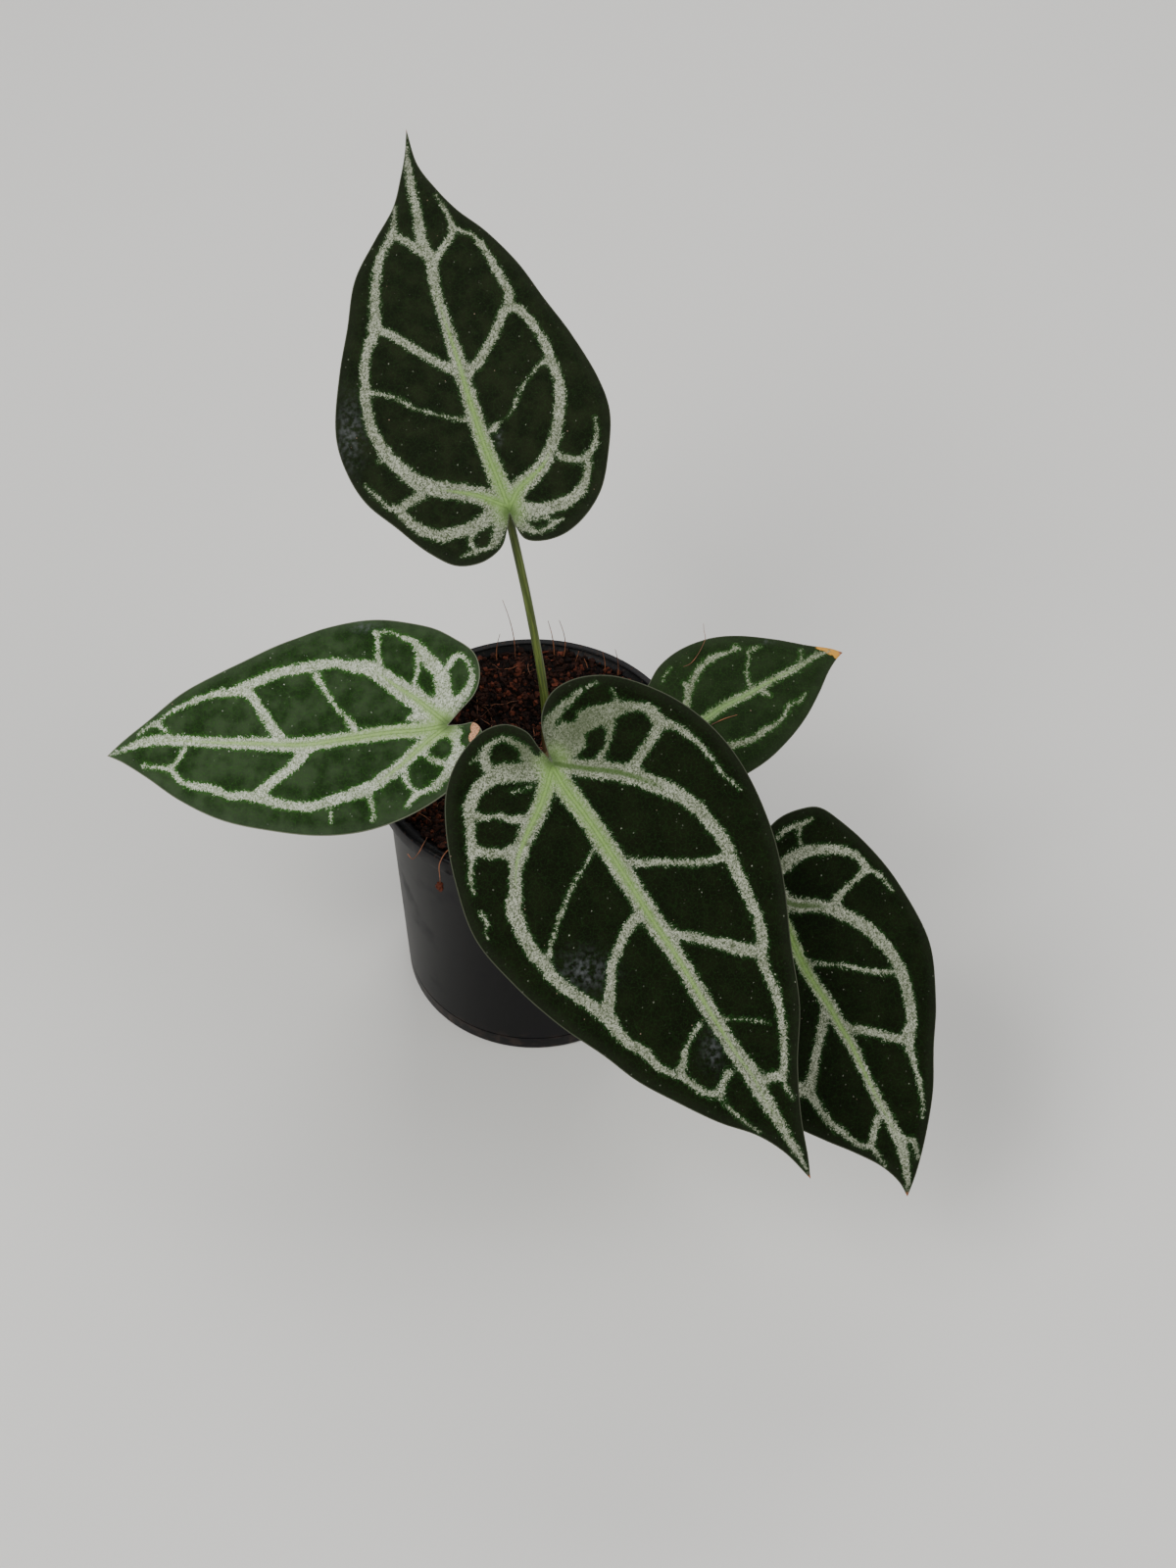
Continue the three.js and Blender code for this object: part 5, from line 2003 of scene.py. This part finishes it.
LEFT = LeafBlade(
    name="left",
    slot=Slot.GREEN_VELVET,
    finish=GREEN_VELVET,
    shape=BladeShape(
        stalk_point=(-29.6, -18.4, 158), tip=(-157.5, -11, 132), facing=(-0.22, -0.45, 0.9), half_width=42,
        bow=0, sway=-3.3, arch_across=6, arch_along=4, lobe_lift=4, wave_height=1.5, waves=3.4,
        wave_phase=1.2,
        right="0,0 4,-4 11,-11 18,-13 26,-11 33,-3 38.5,6 42,19 42.5,33.5 41.5,46.5 37.5,57.5 32,71.5 "
        "27,85.5 20.5,100 12,113 5,124 0,130.7",
        left="0,0 -0.2,-5 0,-10 -4,-13 -12,-10.5 -21,-4 -28,5 -34,17 -37.5,33 -38,50 -34,69 -29,86 -20,102 "
        "-10,115 -3,125 0,130.7",
    ),
    ribs={
        "midrib": "456,740,16 437,744,15 395,748,14 353,754,13 310,760,14 268,759,13 226,758,10 184,756,10 "
        "163,756,10 146,758,8 132,763,5 111,771,1",
        "upper_basal": "456,738,24 441,726,23 424,713,21 407,702,19 393,692,16 379,683,15 359,680,11 "
        "342,677,9 325,679,10 283,687,9 266,694,9 252,700,10 245,704,11 235,707,8 220,708,6 205,713,5 "
        "190,719,4 167,732,2 161,738,3",
        "lower_basal": "456,741,14 445,749,13 433,759,13 420,771,13 409,781,12 399,789,12 382,801,12 "
        "365,809,12 348,814,10 319,823,9 302,823,9 285,820,9 268,815,10 252,812,9 235,812,7 218,806,8 "
        "188,799,6 178,790,5 172,785,4 155,783,3 144,781,2",
    },
    bands={
        "upper_side_low": "285,752,11 275,738,9 266,725,9 256,710,9 249,704,10",
        "upper_thread": "361,744,7 355,734,5 344,723,4 334,708,4 327,698,6 323,689,8",
        "upper_side_high": "172,750,4 165,742,3 161,739,4 148,744,3 142,750,3",
        "lower_side_low": "318,762,11 312,767,10 302,778,10 289,790,9 277,799,9 266,809,11",
        "lower_side_high": "188,765,4 182,776,4 174,785,4",
        "upper_lobe_in": "387,677,6 385,664,4 386,652,4 383,645,3",
        "upper_lobe": "388,646,3 399,645,2 412,651,4 420,654,6 428,661,9 435,670,12 443,680,14 450,690,15 "
        "453,703,16 453,716,22 455,728,24",
        "upper_lobe_spur": "427,672,6 427,681,4 425,690,3 423,699,4 424,708,8",
        "upper_lobe_loop": "456,682,6 462,673,5 469,669,5 476,674,4 481,683,4 482,693,6 478,703,8 "
        "471,712,10 463,720,13",
        "lower_lobe": "460,745,12 467,753,15 468,765,11 462,777,11 457,788,10 451,796,8 443,803,6 "
        "433,808,5 424,812,6 420,817,5 414,824,2",
        "lower_lobe_cross": "433,769,5 441,775,4 449,778,6 457,780,6",
        "lower_lobe_spur": "414,786,5 414,795,5 419,803,4 425,809,5",
        "lower_stub": "378,810,5 379,820,4 382,830,3 380,838,1.5",
        "lower_stub_far": "338,830,3 338,839,1.5",
        "hub_fill": "442,733,10 430,731,9 418,733,4",
    },
    marks={
        MarkKind.DRIED: "485,743,5,8 482,753,4,6",
        MarkKind.GAP: "474,755,5,6",
        # Painted glare on the velvet.
        MarkKind.MEALY: "372,640,14,5",
    },
)

FRONT = LeafBlade(
    name="front",
    slot=Slot.DARK_VELVET,
    finish=DARK_VELVET,
    shape=BladeShape(
        stalk_point=(9.1, -74.1, 203), tip=(97.3, -183.5, 112), facing=(0.1, -0.55, 0.8), half_width=64,
        bow=-0.3, sway=0.3, arch_across=8, arch_along=6, lobe_lift=7, wave_height=1.3, waves=3.3,
        wave_phase=0.6,
        right="0,0 1.2,-6 2,-13 7,-19 15,-21 26,-18 36,-10.5 43.5,1.5 50,18 54.5,38 51.5,58 45.5,78 "
        "38.5,94 33.5,107 26,120 17,134 8,145 3,155 0,167.4",
        left="0,0 -1.2,-6 -5,-15 -12,-20 -21,-20 -32,-15 -42,-5 -49,6 -54,22 -55,40 -52,58 -46,75 -36,96 "
        "-27.5,115 -16.5,131.5 -8,148 -3,161 0,167.4",
    ),
    # Painted shade along this rib.
    shaded_rib="right_basal",
    ribs={
        "midrib": "564,783,20 575,802,21 600,836,20 625,874,21 646,907,19 667,941,20 688,972,17 "
        "712,1012,16 739,1056,15 754,1079,15 768,1098,18 779,1119,14 792,1140,11 804,1160,8 815,1178,6 "
        "823,1193,3",
        "right_basal": "566,779,16 583,782,16 605,785,18 625,787,18 646,792,17 665,799,16 682,806,15 "
        "699,815,14 714,827,13 726,842,12 737,855,12 749,884,12 758,903,11 773,937,10 777,954,11 "
        "777,976,11 783,993,9 792,1012,8 796,1031,8 800,1065,7 800,1082,7 798,1096,8 789,1098,9 779,1102,10",
        "left_basal": "563,785,18 557,806,17 551,823,18 537,853,18 528,878,15 526,897,12 526,912,13 "
        "524,928,16 530,945,14 543,970,13 554,983,12 564,997,12 594,1020,11 610,1031,13 621,1039,14 "
        "629,1052,11 642,1065,10 657,1073,9 669,1086,8 682,1095,6 693,1097,8 703,1103,7 714,1112,7 "
        "724,1117,7 735,1113,7 739,1103,6 743,1094,8",
    },
    bands={
        "right_tip": "798,1098,5 804,1113,4 809,1120,2",
        "right_side_low": "636,880,9 650,880,7 672,880,6 714,880,6 730,877,7 741,874,9",
        "right_side_middle": "678,949,12 693,954,9 709,957,9 743,965,11 758,969,12 770,971,13",
        "right_side_faint": "735,1039,1.6 752,1040,0.6 768,1041,0.8 785,1044,0.6",
        "left_thread": "606,865,1.2 600,878,1.6 594,888,1.2 585,903,2.6 570,939,2.8 564,958,2.6 562,964,3 "
        "561,976,5",
        "left_side_middle": "650,936,12 640,949,10 632,966,9 625,983,9 623,1002,9 619,1033,14",
        "left_side_high": "714,1046,5 707,1056,3 701,1067,4 698,1077,6 696,1090,8",
        "tip_bits": "735,1119,3 745,1132,2 760,1145,3 775,1156,1.5",
        "right_lobe": "568,768,30 577,757,36 590,745,28 600,735,22 610,730,20 620,728,19 630,723,14 "
        "640,721,11 652,721,8 661,723,10 668,730,12 674,737,12 686,740,7 699,747,6 712,758,5 720,766,5 "
        "726,774,3",
        "right_lobe_broken": "729,777,1 733,784,3.5 738,791,3 747,798,1.6 756,806,1.2",
        "right_lobe_link": "674,739,10 668,750,9 662,758,9 656,767,9 650,776,10 646,784,13",
        "right_lobe_cross": "623,737,8 622,747,6 620,757,3 618,764,4 614,770,6 612,778,8",
        "right_lobe_outer": "558,746,15 563,734,11 569,727,8 576,720,7 583,714,7 589,708,5 593,704,3",
        "right_lobe_fleck": "599,701,2 603,698.5,3 608,697,1.5",
        "right_lobe_thread": "624,704,1 628,709,1.5 630,716,2",
        "left_lobe": "554,784,24 540,787,20 525,788,19 512,789,18 500,795,15 490,803,13 483,813,12 "
        "479,824,12 479,835,10 480,850,9 481,862,9 482,872,8 481,885,5 480,897,3.5 481,905,2.5 484,912,1.5",
        "left_lobe_cross": "482,833,8 492,834,6 503,833,3.5 511,833,5 520,836,6 530,836,9",
        "left_lobe_cross_low": "482,868,10 492,870,10 503,871,10 512,872,8 522,870,14",
        "left_lobe_spur": "520,809,0.6 527,808,1.4 534,806,0.8 542,803,3",
        "left_lobe_ring": "497,783,10 494,775,10 495,768,8 499,761,6 506,756,4.5 514,754,4 523,757,5 "
        "532,763,9 538,771,14 540,778,14",
        "left_lobe_fleck": "480,779,1.5 487,774,2 491,771,2",
        "left_fleck_low": "490,932,1 494,936,2.6 497,945,1.6 495,951,0.8 498,958,0.6",
    },
    marks={
        MarkKind.GAP: "581,730,9,8 608,755,11,13",
        # Painted shade on the silver of the right lobe.
        MarkKind.DIM: "596,746,66,44 530,768,32,22",
        # Painted glare on the velvet.
        MarkKind.MEALY: "597,990,22,16 727,1073,9,15",
    },
)

RIGHT = LeafBlade(
    name="right",
    slot=Slot.GREEN_VELVET,
    finish=TIPPED_VELVET,
    shape=BladeShape(
        stalk_point=(45.9, -17.8, 148), tip=(117, 24.7, 150), facing=(0.1, -0.35, 1), half_width=28,
        bow=-1.2, sway=1, arch_across=4, edge_fall=1.4, arch_along=2.5, lobe_lift=3, wave_height=0.9,
        waves=2.6, wave_phase=0.3,
        right="0,0 1,-4 5,-9 12,-9 19,-3 24,7 26.5,19 26,31 23,42 18,54 11,65 5,73 1.5,79 0,82.8",
        left="0,0 -1,-4 -5,-8 -10,-8 -15,-2 -20,8 -25,16 -28,28 -27,38 -22,50 -15.5,61 -8,71.5 -3,79.5 "
        "0,82.8",
    ),
    ribs={
        "midrib": "668,757,12 716,736,10 735,723,9 760,710,9 785,696,7 810,683,7 821,677,6 833,669,4 "
        "845,665,3",
        "left_basal": "668,755,10 690,740,8 701,716,7 703,706,6 713,684,6 722,675,6 732,669,5 744,666,2 "
        "750,662,4 756,663,1",
        "right_basal": "675,768,9 710,770,8 745,761,7 764,756,6 774,751,6 781,745,6 792,739,4 800,731,3 "
        "804,723,4 808,718,3 816,716,3 822,708,1",
    },
    bands={
        "left_stub": "699,698,4 703,706,4",
        "left_side": "764,698,3 762,689,1.6 762,680,1 764,672,1.6 763,666,2.4 769,663,2.4 775,660,2",
        "right_stub": "775,704,4 785,710,2",
        "tip_stub": "817,674,3 817,664,2",
        "left_fleck": "684,682,1 681,687,1.4 677,691,1 676,696,1.2",
    },
    marks={
        MarkKind.YELLOWED: "841,661,9,3 850,664,9,5 854,668,4,5",
        MarkKind.DRIED: "858,666,3,4",
        # Painted glare on the velvet.
        MarkKind.MEALY: "783,655,6,2",
    },
)

LOW = LeafBlade(
    name="low",
    slot=Slot.DARK_VELVET,
    finish=DARK_VELVET,
    shape=BladeShape(
        stalk_point=(82.4, -78.1, 150), tip=(134.8, -165.2, 72), facing=(0.25, -0.55, 0.8), half_width=46,
        bow=-1.5, sway=3, arch_across=6, arch_along=5, lobe_lift=5, wave_height=1.2, waves=3.0,
        wave_phase=2.6,
        right="0,0 2,-5 7,-10 15,-10 24,-5 33,6 39,22 41,40 38.5,58 35,73 30,85 21,96 12.5,105 5,114 1,122 "
        "0,128.1",
        left="0,0 -2,-5 -6,-10 -13,-13 -21,-13 -29,-10.5 -35,-2 -41,12 -45,25 -46,39 -44.5,53.5 -38,70.5 "
        "-30,84 -23,98.5 -14,112 -6,122 0,128.1",
    ),
    # Painted shade along this rib.
    shaded_rib="right_basal",
    ribs={
        "midrib": "776,885,18 790,920,16 807,957,13 822,989,12 833,1007,12 845,1025,13 856,1045,13 "
        "867,1063,11 879,1088,9 890,1111,9 910,1149,10 919,1168,10 924,1190,8 926,1215,3",
        "right_basal": "780,888,16 804,921,15 840,925,12 860,933,12 879,943,12 894,955,12 908,971,11 "
        "917,986,11 924,1005,11 928,1023,10 930,1041,10 927,1057,12 928,1068,9 933,1086,5 937,1102,3.5 "
        "941,1122,2.6 941,1140,1.5",
    },
    bands={
        "right_lobe": "780,893,16 797,885,14 808,876,13 822,869,11 838,867,10 854,867,8 867,870,7 "
        "879,878,7 883,887,7",
        "right_lobe_bits": "884,888,5 890,889,3.5 897,893,4 903,900,2 907,905,3 911,909,2",
        "right_lobe_link": "881,889,5 872,898,4 860,910,6 854,919,8",
        "right_lobe_outer": "793,855,4 802,846,4 815,842,3 829,835,2",
        "right_lobe_spur": "816,843,4 815,851,3 816,860,3",
        "right_thread": "829,983,4 847,984,3 865,986,3 883,990,4 901,992,4 915,991,5",
        "right_side": "860,1050,9 872,1050,8 890,1053,8 906,1058,8 922,1061,9",
        "left_side": "841,1036,10 838,1054,8 833,1075,8 830,1093,9 825,1111,11",
        "left_low": "816,1111,9 827,1118,9 838,1134,7 849,1147,7 863,1158,6 876,1168,5 888,1168,6 "
        "892,1154,6 896,1140,7",
        "left_tip": "889,1170,4 897,1181,3 903,1190,2",
        "right_tip": "922,1162,6 931,1164,5 935,1172,4 937,1181,3",
    },
    hidden={
        "left_basal": "0,1,5.5 8,-1,5 17,5,4.4 24,15,4.2 29,28,4 31,43,3.8 29,58,3.6 25.5,68,3.5 "
        "21.7,75.8,3.4",
        "left_side_hidden": "1.5,24,3 8,31,2.6 16,35,2.6 24,36,3 30,38,3.4",
        "left_lobe_hidden": "1,-1,5 6,-5,3.6 13,-6,2.8 21,-3,2.4 26,3,2 24,12,2",
        "left_lobe_link_hidden": "13,-6,2.2 13,-1,1.8 14,2.5,2",
    },
)

FALLEN_FIBRES = (
    FallenFibre(
        RIGHT.shape,
        "697,681,0.1 704,678,0.2 711,670,0.9 716,661,2 718,655,3 716,649,4.2 715,643,5.2",
    ),
    FallenFibre(RIGHT.shape, "726,740,0.1 739,734,0.2 752,730,0.1", 0.19),
)


@dataclass
class Plant:
    """The five leaves, each with its stalk."""

    blades: tuple[LeafBlade, ...] = (FRONT, BACK, LEFT, RIGHT, LOW)
    stalks: tuple[LeafStalk, ...] = (
        LeafStalk("front", FRONT.shape, 268, 119, ((8.5, -22, 146), (9, -50, 180))),
        LeafStalk("back", BACK.shape, 105, 117, ((5, 9.5, 145), (-0.5, 19.5, 183))),
        LeafStalk("left", LEFT.shape, 205, 114, ((-8, -8.5, 131), (-21, -14.5, 147))),
        LeafStalk("right", RIGHT.shape, 345, 117, ((22, -8, 130), (36, -15, 141))),
        LeafStalk("low", LOW.shape, 308, 113, ((29, -24, 132), (56, -50, 150), (72, -67, 153))),
    )
    stalk_finish: StalkFinish = StalkFinish()

    def build(self) -> None:
        """Makes all blades and stalks."""
        skin = self.stalk_finish.material()
        for stalk in self.stalks:
            stalk.build(skin)
        for blade in self.blades:
            blade.build()


@dataclass(frozen=True)
class SoftLight:
    """A large square studio light that faces the plant."""

    name: str
    place: Point3
    side: float
    power: float


@dataclass
class Studio:
    """A plain pale floor under soft light."""

    floor_side: float = 9.0
    floor_colour: Colour = (226, 224, 219)
    floor_shade: Colour = (218, 216, 211)
    air_colour: Colour = (226, 228, 232)
    air_strength: float = 0.55
    target: Point3 = (0.0, -0.02, 0.14)
    lights: tuple[SoftLight, ...] = (
        SoftLight("key_light", (-1.0, -0.9, 1.9), 1.1, 34.0),
        SoftLight("fill_light", (1.5, -0.8, 1.4), 1.3, 14.0),
        SoftLight("back_light", (0.3, 1.5, 1.7), 1.2, 18.0),
    )

    def build(self) -> None:
        """Makes the floor, the lights and the pale air."""
        s = Shader("pale_floor")
        tone = s.mix(s.step(s.grain(260.0, 3.0), 0.3, 0.7, 0.25), self.floor_colour, self.floor_shade)
        finish = s.close(tone, 0.8, specular=0.2)
        half = self.floor_side / 2 / MM
        corners = np.array([(-half, -half, 0), (half, -half, 0), (half, half, 0), (-half, half, 0)], float)
        MeshDraft(corners, [(0, 1, 2, 3)], [finish], smooth=False).make("pale_floor")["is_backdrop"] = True
        for light in self.lights:
            data = bpy.data.lights.new(light.name, "AREA")
            data.shape, data.size, data.energy = "SQUARE", light.side, light.power
            lamp = placed(light.name, data)
            lamp.location = light.place
            towards = Vector(self.target) - Vector(light.place)
            lamp.rotation_euler = towards.to_track_quat("-Z", "Y").to_euler()
        world = bpy.data.worlds.new("pale_air")
        world.use_nodes = True
        background = world.node_tree.nodes["Background"]
        air = NodeCanvas(world.node_tree)
        air.feed(background.inputs["Color"], self.air_colour)
        air.feed(background.inputs["Strength"], self.air_strength)
        bpy.context.scene.world = world


def write_sizes() -> None:
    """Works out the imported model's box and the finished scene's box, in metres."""
    boxes = {
        name: [list(corner) for corner in box] for name, box in (("cad", CAD_BOX), ("scene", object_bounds()))
    }


def main() -> None:
    """Builds the camera, the studio and each part of the potted plant, and reports them."""
    logging.basicConfig(level=logging.INFO, format="%(name)s: %(message)s")
    CAMERA.place()
    Studio().build()
    pot = NurseryPot()
    pot.build()
    CoirSoil(pot, fallen=FALLEN_FIBRES).build()
    Stem().build()
    Plant().build()
    write_sizes()
    LOG.info("the potted plant is complete")


if __name__ == "__main__":
    main()
